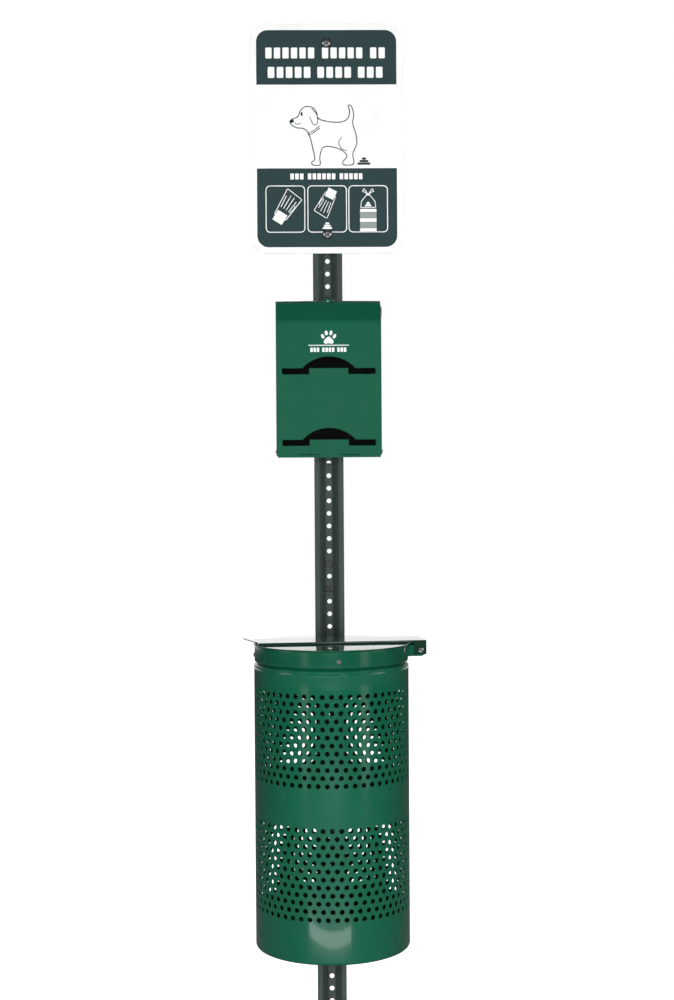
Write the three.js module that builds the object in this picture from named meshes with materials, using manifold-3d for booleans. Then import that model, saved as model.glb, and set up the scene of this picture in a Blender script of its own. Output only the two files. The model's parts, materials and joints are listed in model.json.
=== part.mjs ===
// Dog waste station: a two-piece channel post that carries a sign, a lockable
// bag dispenser and a round bin with a hinged lid.
// Units are millimetres, +Z is up, -Y is the front. The origin is in the middle
// of the lower post's web, at its bottom end.

import * as THREE from 'three';
import { mergeVertices } from 'three/addons/utils/BufferGeometryUtils.js';
import Module from 'manifold-3d';

const wasm = await Module();
wasm.setup();

// ---------------------------------------------------------------- general sizes

const CONTACT_GAP = 0.3; // left between pieces that touch
const MOVING_GAP = 0.8; // left between pieces that slide past each other
const HOLE_CLEARANCE = 0.4; // added to a shank's radius for the hole it passes

// ---------------------------------------------------------------- post

const HOLE_PITCH = 25.4;
const POST_HOLE_CLEARANCE = 1.6; // post hole's diameter over the bolt's
const POST_PITCHES = 48; // a post's length, counted in hole pitches
const LAP_PITCHES = 14; // how far the two posts overlap
const POST_STEEL = 2.4;
const POST_LIP = 9.4; // flat flange on each side of the channel
const POST_WALL_RUN = 12.2; // sideways run of each slanted wall
const POST_WEB = 15.6;
const POST_DEPTH = 24; // flange front to web back

// ---------------------------------------------------------------- fasteners

const BOLT_DIAMETER = 7.9;
const HEX_FLATS = 12.7;
const HEX_HEAD_HEIGHT = 5.2;
const NUT_HEIGHT = 6.7;
const THREAD_SHOWING = 3; // bolt end past its nut
const WASHER_DIAMETER = 20;
const WASHER_THICKNESS = 1.6;
const ROUND_HEAD_DIAMETER = 16;
const ROUND_HEAD_HEIGHT = 4.4;

// ---------------------------------------------------------------- sign

const SIGN_WIDTH = 304.8;
const SIGN_HEIGHT = 457.2;
const SIGN_THICKNESS = 2;
const SIGN_CORNER_RADIUS = 35;
const SIGN_BOLT_INSET = 38.1; // bolt centre to the sign's top and bottom edge

// ---------------------------------------------------------------- dispenser

const DISPENSER_BOTTOM = 1229.6; // height of the cover's lower edge
const COVER_WIDTH = 206.5;
const COVER_DEPTH = 76; // post flange to the cover's front
const COVER_HEIGHT = 305.4;
const COVER_SHEET = 1.6;
const SLOPE_RISE = 38; // height of the sloped upper front
const SLOPE_RUN = 30;
const SIDE_RAISE = 5; // side walls end this far above the front's lower edge
const PLATE_SHEET = 2;
const PLATE_SIDE_MARGIN = 1.5; // back plate past the cover on each side
const PLATE_TOP_MARGIN = 7.8; // back plate above the cover
const EAR_RADIUS = 11; // round ear on the middle of the back plate's top edge
const EAR_RISE = 8.5;
const EAR_HOLE_RADIUS = 3.4;
const SLOT_HEIGHT = 12;
const SLOT_WIDTH = 183;
const TONGUE_WIDTH = 76.6;
const ARCH_WIDTH = 104;
const ARCH_HEIGHT = 23;
const LOWER_SLOT_RISE = 28.9; // cover's lower edge to the lower slot's centre
const SLOT_SPACING = 139.8;
const DRAIN_WIDTH = 40;
const DRAIN_HEIGHT = 2;
const DRAIN_OFFSET = 41; // middle of the cover to the middle of each drain slit
const DRAIN_RISE = 4.4;
const HINGE_ROD_DIAMETER = 5;
const HINGE_ROD_INSET = 12; // in from the cover's front and up from its lower edge
const HINGE_ROD_HEAD = 2;
const HINGE_LUG_RADIUS = 6;
const TRAY_RISE = 4; // cover's lower edge to the underside of the tray
const DISPENSER_BOLT_INSET = 16; // least distance from a bolt to the cover's ends

const PIN_DIAMETER = 6;
const PIN_SPACING = 120;
const PACK_WIDTH = 178;
const PACK_HEIGHT = 105;
const PACK_BELOW_SLOT = 13.4; // slot centre to the bottom of its pack
const PACK_FRONT_GAP = 8; // pack to the inside of the cover's front
const PACK_REAR_GAP = 12; // pack to the back plate, room for the bolt head
const PIN_BELOW_PACK_TOP = 12;
const HOOK_RISE = 3.5; // upturned end that keeps a pack on its pin

const LOCK_BODY_DIAMETER = 19;
const LOCK_BODY_LENGTH = 22;
const LOCK_FLANGE_DIAMETER = 22.4;
const LOCK_FLANGE = 2.4;
const LOCK_PLUG_DIAMETER = 11;
const LOCK_BACK_WALL = 3;
const LOCK_TAIL_DIAMETER = 8;
const LOCK_NUT_FLATS = 24;
const LOCK_NUT_HEIGHT = 4;
const LOCK_BELOW_TOP = 17; // cover's top to the lock's axis
const LOCK_FROM_PLATE = 26; // back plate to the lock's axis
const CAM_LENGTH = 18;
const CAM_WIDTH = 8;
const CAM_THICKNESS = 2;
const KEEPER_SHEET = 1.6;
const KEEPER_HEIGHT = 14;
const KEEPER_FOOT = 17;
const KEEPER_ARM_OFFSET = 7; // keeper's arm to the cam
const KEY_SLOT_WIDTH = 1.4;
const KEY_SLOT_HEIGHT = 7;

// ---------------------------------------------------------------- bin

const BAND_TOP = 873.2; // height of the bin's rim
const BAND_HEIGHT = 32;
const BAND_SHEET = 1.6;
const SHOULDER_GAP = 1; // band's lower edge to the top of the bin's shoulder
const BIN_RADIUS = 147.5;
const BIN_HEIGHT = 576.2; // rim to underside
const BIN_SHEET = 1.6;
const BAND_STEP = 1; // band's radius is this much under the bin's
const NECK_STEP = 8.2; // neck's radius is this much under the bin's
const SHOULDER_RISE = 5.5;
const NECK_BELOW_RIM = 3.6;
const FLOOR_RAISE = 6;
const FLOOR_LIP = 10;
const FLOOR_SHEET = 1.6;
const BIN_BOLT_BELOW_RIM = 60;
const SADDLE_WIDTH = 58;
const SADDLE_HEIGHT = 32;
const LID_POST_CLEARANCE = 1.2;

const SCREW_ANGLES = [-85.5, 94.5, 184.5]; // degrees from +X, clear of the hinge bracket
const SCREW_BELOW_RIM = 19;
const SCREW_DIAMETER = 4;
const SCREW_HEAD_DIAMETER = 8.5;
const SCREW_HEAD_HEIGHT = 2.4;
const SCREW_TIP = 3; // past the inside of the neck
const RIVET_TAIL = 2; // past the inside of the neck

// ---------------------------------------------------------------- lid

const LID_OVERHANG = 3.5;
const LID_SHEET = 1.6;
const STRAP_TURN = 6.4; // degrees that the strap is turned from +X
const STRAP_WIDTH = 86;
const STRAP_HEIGHT = 5;
const STRAP_SHEET = 1.6;
const HANDLE_WIDTH = 40;
const HANDLE_REACH = 19; // past the lid's edge
const HANDLE_BEND = 24; // degrees
const PIVOT_REACH = 19.5; // band to the lid's pivot
const PIVOT_BELOW_RIM = 11.7;
const PIVOT_DIAMETER = 6;
const PIVOT_HEAD_DIAMETER = 10;
const PIVOT_HEAD_HEIGHT = 2.4;
const CHEEK_BEFORE_PIVOT = 13;
const CHEEK_PAST_PIVOT = 11;
const CHEEK_BELOW_PIVOT = 8;
const BRACKET_SHEET = 2;
const BRACKET_EAR_RADIUS = 11.5;
const BRACKET_HALF_SPREAD = 33; // degrees along the band on each side
const BRACKET_RIVET_SPREAD = 29.5;
const RIVET_DIAMETER = 4.8;
const RIVET_HEAD_DIAMETER = 8;
const RIVET_HEAD_HEIGHT = 2;
const RIVET_BELOW_RIM = 7.5;

// ---------------------------------------------------------------- faceting

const POST_HOLE_SIDES = 8;
const SHANK_SIDES = 12;
const ROUND_SIDES = 20;
const BIN_SIDES = 60;

// ---------------------------------------------------------------- materials

function finish(color, roughness, metalness) {
  return new THREE.MeshStandardMaterial({ color, roughness, metalness });
}

const postPaint = () => finish(0x34403c, 0.45, 0.2);
const zinc = () => finish(0xc9ccd0, 0.3, 1.0);
const signPaint = () => finish(0x324a4e, 0.4, 0.1);
const dispenserPaint = () => finish(0x1d5c45, 0.35, 0.1);
const binPaint = () => finish(0x226a51, 0.25, 0.1);
const bandPaint = () => finish(0x1a5942, 0.25, 0.1);
const lidPaint = () => finish(0x1c6048, 0.2, 0.1);
const blackFilm = () => finish(0x141516, 0.5, 0.0);
const brass = () => finish(0xb59a55, 0.35, 1.0);

// ---------------------------------------------------------------- solid helpers

const rad = THREE.MathUtils.degToRad;

function solidOf(geometry) {
  const bare = geometry.clone();
  bare.deleteAttribute('normal');
  bare.deleteAttribute('uv');
  const merged = mergeVertices(bare, 1e-4);
  return new wasm.Manifold(new wasm.Mesh({
    numProp: 3,
    vertProperties: new Float32Array(merged.attributes.position.array),
    triVerts: new Uint32Array(merged.index.array),
  }));
}

function geometryOf(solid) {
  const mesh = solid.getMesh();
  const geometry = new THREE.BufferGeometry();
  geometry.setAttribute('position', new THREE.BufferAttribute(mesh.vertProperties, 3));
  geometry.setIndex(new THREE.BufferAttribute(mesh.triVerts, 1));
  geometry.computeVertexNormals();
  return geometry;
}

function cut(base, tools) {
  return geometryOf(tools.reduce((solid, tool) => solid.subtract(solidOf(tool)), solidOf(base)));
}

function join(pieces) {
  return geometryOf(pieces.map(solidOf).reduce((a, b) => a.add(b)));
}

// Sideways offset of an open path, with mitred corners.
function offsetPath(path, distance) {
  const normals = path.slice(1).map((point, i) => {
    const along = new THREE.Vector2().subVectors(point, path[i]).normalize();
    return new THREE.Vector2(-along.y, along.x);
  });
  return path.map((point, i) => {
    const before = normals[Math.max(i - 1, 0)];
    const after = normals[Math.min(i, normals.length - 1)];
    const mitre = before.clone().add(after);
    return point.clone().addScaledVector(mitre, distance / (1 + before.dot(after)));
  });
}

// Section of a sheet bent along a path down the middle of its thickness.
function bentSheet(points, thickness) {
  const path = points.map(([a, b]) => new THREE.Vector2(a, b));
  const left = offsetPath(path, thickness / 2);
  const right = offsetPath(path, -thickness / 2);
  return left.concat(right.reverse());
}

function outline(points) {
  return new THREE.Shape(points.map((p) => (p.isVector2 ? p : new THREE.Vector2(...p))));
}

function extrude(shape, depth, curveSegments = 8) {
  return new THREE.ExtrudeGeometry(shape, { depth, curveSegments, bevelEnabled: false });
}

// Shape in XY, raised along +Z.
function raised(shape, z0, z1, curveSegments) {
  return extrude(shape, z1 - z0, curveSegments).translate(0, 0, z0);
}

// Shape in XZ, thickened along Y.
function standing(shape, y0, y1, curveSegments) {
  return extrude(shape, y1 - y0, curveSegments).rotateX(Math.PI / 2).translate(0, y1, 0);
}

// Shape in YZ, thickened along X.
function sideways(shape, x0, x1, curveSegments) {
  const turn = new THREE.Matrix4().makeBasis(
    new THREE.Vector3(0, 1, 0),
    new THREE.Vector3(0, 0, 1),
    new THREE.Vector3(1, 0, 0),
  );
  return extrude(shape, x1 - x0, curveSegments).applyMatrix4(turn).translate(x0, 0, 0);
}

// Closed (radius, height) profile turned about Z.
function turned(profile, sides) {
  const points = profile.map((p) => (p.isVector2 ? p : new THREE.Vector2(...p)));
  if (THREE.ShapeUtils.isClockWise(points)) points.reverse();
  const first = points[0];
  const last = points[points.length - 1];
  const onAxis = first.x === 0 && last.x === 0;
  const closed = onAxis ? points : points.concat(first.clone());
  return new THREE.LatheGeometry(closed, sides).rotateX(Math.PI / 2);
}

function box(x0, x1, y0, y1, z0, z1) {
  return new THREE.BoxGeometry(x1 - x0, y1 - y0, z1 - z0)
    .translate((x0 + x1) / 2, (y0 + y1) / 2, (z0 + z1) / 2);
}

// Round bars along each axis.
function barY(radius, y0, y1, x, z, sides = SHANK_SIDES) {
  return new THREE.CylinderGeometry(radius, radius, y1 - y0, sides).translate(x, (y0 + y1) / 2, z);
}

function barX(radius, x0, x1, y, z, sides = SHANK_SIDES) {
  return new THREE.CylinderGeometry(radius, radius, x1 - x0, sides)
    .rotateZ(Math.PI / 2)
    .translate((x0 + x1) / 2, y, z);
}

const hexRadius = (flats) => flats / Math.sqrt(3);

const group = new THREE.Group();

function add(name, geometry, material, parent = group) {
  const mesh = new THREE.Mesh(geometry, material);
  mesh.name = name;
  parent.add(mesh);
  return mesh;
}

// ---------------------------------------------------------------- the two posts

const wallLean = Math.hypot(POST_WALL_RUN, POST_DEPTH - POST_STEEL);
const NEST_STEP = (POST_STEEL + CONTACT_GAP) * wallLean / POST_WALL_RUN;
const POST_LENGTH = POST_PITCHES * HOLE_PITCH;
const LAP_LENGTH = LAP_PITCHES * HOLE_PITCH;
const UPPER_POST_BOTTOM = POST_LENGTH - LAP_LENGTH;
const POST_HALF_WIDTH = POST_WEB / 2 + POST_WALL_RUN + POST_LIP;
const postHoleRadius = (BOLT_DIAMETER + POST_HOLE_CLEARANCE) / 2;

function postGeometry() {
  const flangeY = POST_STEEL - POST_DEPTH;
  const half = [
    [POST_WEB / 2, 0],
    [POST_WEB / 2 + POST_WALL_RUN, flangeY],
    [POST_HALF_WIDTH, flangeY],
  ];
  const mirrored = half.map(([x, y]) => [-x, y]).reverse();
  const body = raised(outline(bentSheet(mirrored.concat(half), POST_STEEL)), 0, POST_LENGTH);
  const holes = [];
  for (let i = 1; i < POST_PITCHES; i += 1) {
    holes.push(barY(postHoleRadius, -POST_STEEL, POST_STEEL, 0, i * HOLE_PITCH, POST_HOLE_SIDES));
  }
  return cut(body, holes);
}

// Faces of whichever post is in front, and of the post behind it, at a height.
function postAt(z) {
  const lapFront = z >= UPPER_POST_BOTTOM ? -NEST_STEP : 0;
  const lapBack = z > POST_LENGTH ? -NEST_STEP : 0;
  return {
    flangeFront: lapFront + POST_STEEL / 2 - POST_DEPTH,
    webFront: lapFront - POST_STEEL / 2,
    webBack: lapBack + POST_STEEL / 2,
  };
}

add('lower_post', postGeometry(), postPaint());
add('upper_post', postGeometry(), postPaint()).position.set(0, -NEST_STEP, UPPER_POST_BOTTOM);

const UPPER_FLANGE = postAt(UPPER_POST_BOTTOM).flangeFront;
const holeNumber = (z) => Math.round(z / HOLE_PITCH);

// ---------------------------------------------------------------- bolts through the web

const shankRadius = BOLT_DIAMETER / 2;

// headY is the face that the head bears on.
function boltGeometry(x, z, headY, endY, round) {
  const head = round
    ? standing(new THREE.Shape().absarc(x, z, ROUND_HEAD_DIAMETER / 2, 0, 2 * Math.PI),
      headY - ROUND_HEAD_HEIGHT, headY - CONTACT_GAP, ROUND_SIDES / 2)
    : barY(hexRadius(HEX_FLATS), headY - HEX_HEAD_HEIGHT, headY - CONTACT_GAP, x, z, 6);
  return join([head, barY(shankRadius, headY - HEX_HEAD_HEIGHT / 2, endY, x, z)]);
}

function nutGeometry(x, z, faceY) {
  const near = faceY + CONTACT_GAP;
  const body = barY(hexRadius(HEX_FLATS), near, near + NUT_HEIGHT, x, z, 6);
  const bore = shankRadius + HOLE_CLEARANCE;
  return cut(body, [barY(bore, near - 1, near + NUT_HEIGHT + 1, x, z)]);
}

function washerGeometry(x, z, faceY) {
  const far = faceY - CONTACT_GAP;
  const body = barY(WASHER_DIAMETER / 2, far - WASHER_THICKNESS, far, x, z, ROUND_SIDES);
  const bore = shankRadius + HOLE_CLEARANCE;
  return cut(body, [barY(bore, far - WASHER_THICKNESS - 1, far + 1, x, z)]);
}

const boltEnd = (z) => postAt(z).webBack + CONTACT_GAP + NUT_HEIGHT + THREAD_SHOWING;

// A bolt from bearing face faceY to a nut behind the post, with or without a washer.
function fastenToPost(label, z, faceY, { washer = false, round = false } = {}) {
  let headFace = faceY;
  if (washer) {
    add(`${label}_washer`, washerGeometry(0, z, faceY), zinc());
    headFace = faceY - CONTACT_GAP - WASHER_THICKNESS;
  }
  add(`${label}_bolt`, boltGeometry(0, z, headFace, boltEnd(z), round), zinc());
  add(`${label}_nut`, nutGeometry(0, z, postAt(z).webBack), zinc());
}

const lapMiddle = holeNumber(UPPER_POST_BOTTOM + LAP_LENGTH * 0.36);
for (const [label, hole] of [['upper_splice', lapMiddle + 1], ['lower_splice', lapMiddle - 1]]) {
  const z = hole * HOLE_PITCH;
  fastenToPost(label, z, postAt(z).webFront);
}

// ---------------------------------------------------------------- sign

const SIGN_TOP_BOLT_Z = UPPER_POST_BOTTOM + POST_LENGTH - HOLE_PITCH;
const SIGN_BOLT_SPAN = Math.round((SIGN_HEIGHT - 2 * SIGN_BOLT_INSET) / HOLE_PITCH) * HOLE_PITCH;
const SIGN_LOW_BOLT_Z = SIGN_TOP_BOLT_Z - SIGN_BOLT_SPAN;
const SIGN_MIDDLE_Z = (SIGN_TOP_BOLT_Z + SIGN_LOW_BOLT_Z) / 2;
const SIGN_BACK = UPPER_FLANGE - CONTACT_GAP;
const SIGN_FRONT = SIGN_BACK - SIGN_THICKNESS;

function roundedRectangle(width, height, radius) {
  const a = width / 2;
  const b = height / 2;
  const r = radius;
  const shape = new THREE.Shape();
  shape.moveTo(-a + r, -b);
  shape.lineTo(a - r, -b);
  shape.absarc(a - r, -b + r, r, -Math.PI / 2, 0);
  shape.lineTo(a, b - r);
  shape.absarc(a - r, b - r, r, 0, Math.PI / 2);
  shape.lineTo(-a + r, b);
  shape.absarc(-a + r, b - r, r, Math.PI / 2, Math.PI);
  shape.lineTo(-a, -b + r);
  shape.absarc(-a + r, -b + r, r, Math.PI, 1.5 * Math.PI);
  return shape;
}

function signGeometry() {
  const shape = roundedRectangle(SIGN_WIDTH, SIGN_HEIGHT, SIGN_CORNER_RADIUS);
  const plate = standing(shape, SIGN_FRONT, SIGN_BACK, 6).translate(0, 0, SIGN_MIDDLE_Z);
  const bore = shankRadius + HOLE_CLEARANCE;
  return cut(plate, [SIGN_TOP_BOLT_Z, SIGN_LOW_BOLT_Z].map(
    (z) => barY(bore, SIGN_FRONT - 1, SIGN_BACK + 1, 0, z),
  ));
}

add('sign_panel', signGeometry(), signPaint());
fastenToPost('sign_top', SIGN_TOP_BOLT_Z, SIGN_FRONT, { washer: true, round: true });
fastenToPost('sign_bottom', SIGN_LOW_BOLT_Z, SIGN_FRONT, { washer: true, round: true });

// ---------------------------------------------------------------- dispenser back

const PLATE_BACK = UPPER_FLANGE - CONTACT_GAP;
const PLATE_FRONT = PLATE_BACK - PLATE_SHEET;
const COVER_FRONT = UPPER_FLANGE - COVER_DEPTH;
const COVER_INSIDE = COVER_FRONT + COVER_SHEET;
const COVER_REAR = PLATE_FRONT - MOVING_GAP;
const COVER_TOP = DISPENSER_BOTTOM + COVER_HEIGHT;
const PLATE_TOP = COVER_TOP + PLATE_TOP_MARGIN;
const PLATE_BOTTOM = DISPENSER_BOTTOM + TRAY_RISE;
const plateHalfWidth = COVER_WIDTH / 2 + PLATE_SIDE_MARGIN;
const coverHalfInside = COVER_WIDTH / 2 - COVER_SHEET;
const trayHalfWidth = coverHalfInside - MOVING_GAP;
const ROD_Y = COVER_FRONT + HINGE_ROD_INSET;
const ROD_Z = DISPENSER_BOTTOM + HINGE_ROD_INSET;
const rodBore = HINGE_ROD_DIAMETER / 2 + HOLE_CLEARANCE;

const dispenserBolts = {
  dispenser_top: Math.floor((COVER_TOP - LOCK_BELOW_TOP / 2) / HOLE_PITCH) * HOLE_PITCH,
  dispenser_bottom: Math.ceil((PLATE_BOTTOM + DISPENSER_BOLT_INSET) / HOLE_PITCH) * HOLE_PITCH,
};

// The back plate, its floor tray and the two lugs that hold the hinge rod are one sheet.
function dispenserBackGeometry() {
  const shape = new THREE.Shape();
  const earHalf = Math.sqrt(EAR_RADIUS ** 2 - (EAR_RADIUS - EAR_RISE) ** 2);
  const earCentre = PLATE_TOP + EAR_RISE - EAR_RADIUS;
  const earAngle = Math.atan2(PLATE_TOP - earCentre, earHalf);
  shape.moveTo(-plateHalfWidth, PLATE_BOTTOM);
  shape.lineTo(plateHalfWidth, PLATE_BOTTOM);
  shape.lineTo(plateHalfWidth, PLATE_TOP);
  shape.absarc(0, earCentre, EAR_RADIUS, earAngle, Math.PI - earAngle);
  shape.lineTo(-plateHalfWidth, PLATE_TOP);
  const plate = standing(shape, PLATE_FRONT, PLATE_BACK, 5);
  const trayTop = PLATE_BOTTOM + PLATE_SHEET;
  const tray = box(-trayHalfWidth, trayHalfWidth, ROD_Y, PLATE_BACK, PLATE_BOTTOM, trayTop);
  const lugs = [-1, 1].map((side) => {
    const profile = new THREE.Shape();
    profile.moveTo(ROD_Y - HINGE_LUG_RADIUS, ROD_Z);
    profile.lineTo(ROD_Y - HINGE_LUG_RADIUS, PLATE_BOTTOM);
    profile.lineTo(ROD_Y + 2 * HINGE_LUG_RADIUS, PLATE_BOTTOM);
    profile.lineTo(ROD_Y + HINGE_LUG_RADIUS, ROD_Z);
    profile.absarc(ROD_Y, ROD_Z, HINGE_LUG_RADIUS, 0, Math.PI);
    const outer = side * trayHalfWidth;
    const inner = side * (trayHalfWidth - PLATE_SHEET);
    return sideways(profile, Math.min(outer, inner), Math.max(outer, inner), 5);
  });
  const boltBore = shankRadius + HOLE_CLEARANCE;
  const bores = Object.values(dispenserBolts).map(
    (z) => barY(boltBore, PLATE_FRONT - 1, PLATE_BACK + 1, 0, z),
  );
  bores.push(barY(EAR_HOLE_RADIUS, PLATE_FRONT - 1, PLATE_BACK + 1, 0, earCentre));
  bores.push(barX(rodBore, -COVER_WIDTH, COVER_WIDTH, ROD_Y, ROD_Z));
  for (const pin of bagPins()) {
    bores.push(barY(PIN_DIAMETER / 2 + CONTACT_GAP, PLATE_FRONT - 1, PLATE_BACK + 1, pin.x, pin.z));
  }
  return cut(join([plate, tray, ...lugs]), bores);
}

// ---------------------------------------------------------------- bags on their pins

const slotCentres = [DISPENSER_BOTTOM + LOWER_SLOT_RISE];
slotCentres.push(slotCentres[0] + SLOT_SPACING);
const packFront = COVER_INSIDE + PACK_FRONT_GAP;
const packRear = PLATE_FRONT - PACK_REAR_GAP;

function bagPins() {
  const pins = [];
  for (const [level, slotZ] of [['lower', slotCentres[0]], ['upper', slotCentres[1]]]) {
    const z = slotZ - PACK_BELOW_SLOT + PACK_HEIGHT - PIN_BELOW_PACK_TOP;
    pins.push({ name: `${level}_bag_pin_left`, x: -PIN_SPACING / 2, z });
    pins.push({ name: `${level}_bag_pin_right`, x: PIN_SPACING / 2, z });
  }
  return pins;
}

// A pin runs from the back plate to just past the pack and ends in an upturned tip.
function bagPinGeometry({ x, z }) {
  const r = PIN_DIAMETER / 2;
  const hookRadius = 0.8 * r;
  const tip = packFront - MOVING_GAP - 2 * hookRadius;
  const shank = barY(r, tip, PLATE_FRONT - CONTACT_GAP, x, z);
  const hook = new THREE.CylinderGeometry(r * 0.6, hookRadius, HOOK_RISE + r, SHANK_SIDES)
    .rotateX(Math.PI / 2)
    .translate(x, tip + hookRadius, z + (HOOK_RISE + r) / 2);
  const stub = barY(0.8 * r, PLATE_FRONT - 1, PLATE_BACK - CONTACT_GAP, x, z);
  return join([shank, hook, stub]);
}

for (const pin of bagPins()) {
  add(pin.name, bagPinGeometry(pin), zinc());
}

function bagPackGeometry(slotZ) {
  const bottom = slotZ - PACK_BELOW_SLOT;
  const half = PACK_WIDTH / 2;
  const pack = box(-half, half, packFront, packRear, bottom, bottom + PACK_HEIGHT);
  const pinZ = bottom + PACK_HEIGHT - PIN_BELOW_PACK_TOP;
  const bore = PIN_DIAMETER / 2 + MOVING_GAP;
  return cut(pack, [-1, 1].map(
    (side) => barY(bore, packFront - 1, packRear + 1, side * PIN_SPACING / 2, pinZ),
  ));
}

add('lower_bag_pack', bagPackGeometry(slotCentres[0]), blackFilm());
add('upper_bag_pack', bagPackGeometry(slotCentres[1]), blackFilm());
add('dispenser_back', dispenserBackGeometry(), dispenserPaint());
for (const [label, z] of Object.entries(dispenserBolts)) {
  fastenToPost(label, z, PLATE_FRONT);
}

// ---------------------------------------------------------------- dispenser cover

const LOCK_Y = PLATE_FRONT - LOCK_FROM_PLATE;
const LOCK_Z = COVER_TOP - LOCK_BELOW_TOP;
const lockBodyRadius = LOCK_BODY_DIAMETER / 2;
const coverHalf = COVER_WIDTH / 2;

function slotShape(centreZ) {
  const side = SLOT_WIDTH / 2;
  const tongue = TONGUE_WIDTH / 2;
  const arch = ARCH_WIDTH / 2;
  const radius = (arch ** 2 + ARCH_HEIGHT ** 2) / (2 * ARCH_HEIGHT);
  const low = centreZ - SLOT_HEIGHT / 2;
  const high = centreZ + SLOT_HEIGHT / 2;
  const archCentre = high + ARCH_HEIGHT - radius;
  const start = Math.atan2(high - archCentre, arch);
  const shape = new THREE.Shape();
  shape.moveTo(-side, low);
  shape.lineTo(-tongue, low);
  shape.lineTo(-tongue, high);
  shape.lineTo(tongue, high);
  shape.lineTo(tongue, low);
  shape.lineTo(side, low);
  shape.lineTo(side, high);
  shape.lineTo(arch, high);
  shape.absarc(0, archCentre, radius, start, Math.PI - start);
  shape.lineTo(-side, high);
  return shape;
}

function coverGeometry() {
  const bend = COVER_TOP - SLOPE_RISE;
  const skin = [
    new THREE.Vector2(COVER_FRONT, DISPENSER_BOTTOM),
    new THREE.Vector2(COVER_FRONT, bend),
    new THREE.Vector2(COVER_FRONT + SLOPE_RUN, COVER_TOP),
    new THREE.Vector2(COVER_REAR, COVER_TOP),
  ];
  const closeOff = (path, reach) => path.concat([
    new THREE.Vector2(COVER_REAR + reach, DISPENSER_BOTTOM - reach),
    new THREE.Vector2(path[0].x, DISPENSER_BOTTOM - reach),
  ]);
  const shell = sideways(outline(closeOff(skin, 0).slice(0, -1)), -coverHalf, coverHalf);
  const inner = offsetPath(skin, -COVER_SHEET);
  inner[3].x += 1;
  const cavity = sideways(outline(closeOff(inner, 1)), -coverHalfInside, coverHalfInside);
  const belowSides = [-1, 1].map((side) => {
    const x0 = side > 0 ? coverHalfInside - 1 : -coverHalf - 1;
    return box(x0, x0 + COVER_SHEET + 2, COVER_INSIDE, COVER_REAR + 1,
      DISPENSER_BOTTOM - 1, DISPENSER_BOTTOM + SIDE_RAISE);
  });
  const slots = slotCentres.map((z) => standing(slotShape(z), COVER_FRONT - 1, COVER_INSIDE + 1));
  const drains = [-1, 1].map((side) => {
    const x = side * DRAIN_OFFSET;
    const z = DISPENSER_BOTTOM + DRAIN_RISE;
    return box(x - DRAIN_WIDTH / 2, x + DRAIN_WIDTH / 2, COVER_FRONT - 1, COVER_INSIDE + 1,
      z, z + DRAIN_HEIGHT);
  });
  const rodHole = barX(rodBore, -COVER_WIDTH, COVER_WIDTH, ROD_Y, ROD_Z);
  const lockHole = barX(lockBodyRadius + CONTACT_GAP, coverHalfInside - 1, coverHalf + 1,
    LOCK_Y, LOCK_Z, ROUND_SIDES);
  return cut(shell, [cavity, ...belowSides, ...slots, ...drains, rodHole, lockHole]);
}

add('dispenser_cover', coverGeometry(), dispenserPaint());

function hingeRodGeometry() {
  const end = coverHalf + CONTACT_GAP + HINGE_ROD_HEAD;
  const r = HINGE_ROD_DIAMETER / 2;
  const heads = [-1, 1].map((side) => {
    const a = side * (coverHalf + CONTACT_GAP);
    const b = side * end;
    return barX(r * 1.6, Math.min(a, b), Math.max(a, b), ROD_Y, ROD_Z);
  });
  return join([barX(r, -end, end, ROD_Y, ROD_Z), ...heads]);
}

add('cover_hinge_rod', hingeRodGeometry(), zinc());

// ---------------------------------------------------------------- cam lock

const lockOuter = coverHalf + CONTACT_GAP;
const lockInner = coverHalf - LOCK_BODY_LENGTH;
const plugRadius = LOCK_PLUG_DIAMETER / 2;
const tailRadius = LOCK_TAIL_DIAMETER / 2;
const camX = lockInner - CONTACT_GAP - CAM_THICKNESS;

function lockBarrelGeometry() {
  const body = barX(lockBodyRadius, lockInner, lockOuter + 1, LOCK_Y, LOCK_Z, ROUND_SIDES);
  const flange = barX(LOCK_FLANGE_DIAMETER / 2, lockOuter, lockOuter + LOCK_FLANGE,
    LOCK_Y, LOCK_Z, ROUND_SIDES);
  const plugBore = barX(plugRadius + HOLE_CLEARANCE, lockInner + LOCK_BACK_WALL,
    lockOuter + LOCK_FLANGE + 1, LOCK_Y, LOCK_Z, ROUND_SIDES);
  const tailBore = barX(tailRadius + HOLE_CLEARANCE, lockInner - 1, lockOuter, LOCK_Y, LOCK_Z,
    ROUND_SIDES);
  return cut(join([body, flange]), [plugBore, tailBore]);
}

function lockPlugGeometry() {
  const face = lockOuter + LOCK_FLANGE - CONTACT_GAP;
  const plug = barX(plugRadius, lockInner + LOCK_BACK_WALL + CONTACT_GAP, face, LOCK_Y, LOCK_Z,
    ROUND_SIDES);
  const tail = barX(tailRadius, camX - 1, face - 1, LOCK_Y, LOCK_Z, ROUND_SIDES);
  const keySlot = box(face - 3, face + 1, LOCK_Y - KEY_SLOT_WIDTH / 2, LOCK_Y + KEY_SLOT_WIDTH / 2,
    LOCK_Z - KEY_SLOT_HEIGHT / 2, LOCK_Z + KEY_SLOT_HEIGHT / 2);
  return cut(join([plug, tail]), [keySlot]);
}

function lockNutGeometry() {
  const near = coverHalfInside - CONTACT_GAP;
  const body = barX(hexRadius(LOCK_NUT_FLATS), near - LOCK_NUT_HEIGHT, near, LOCK_Y, LOCK_Z, 6);
  const bore = lockBodyRadius + CONTACT_GAP;
  return cut(body, [barX(bore, near - LOCK_NUT_HEIGHT - 1, near + 1, LOCK_Y, LOCK_Z, ROUND_SIDES)]);
}

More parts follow.
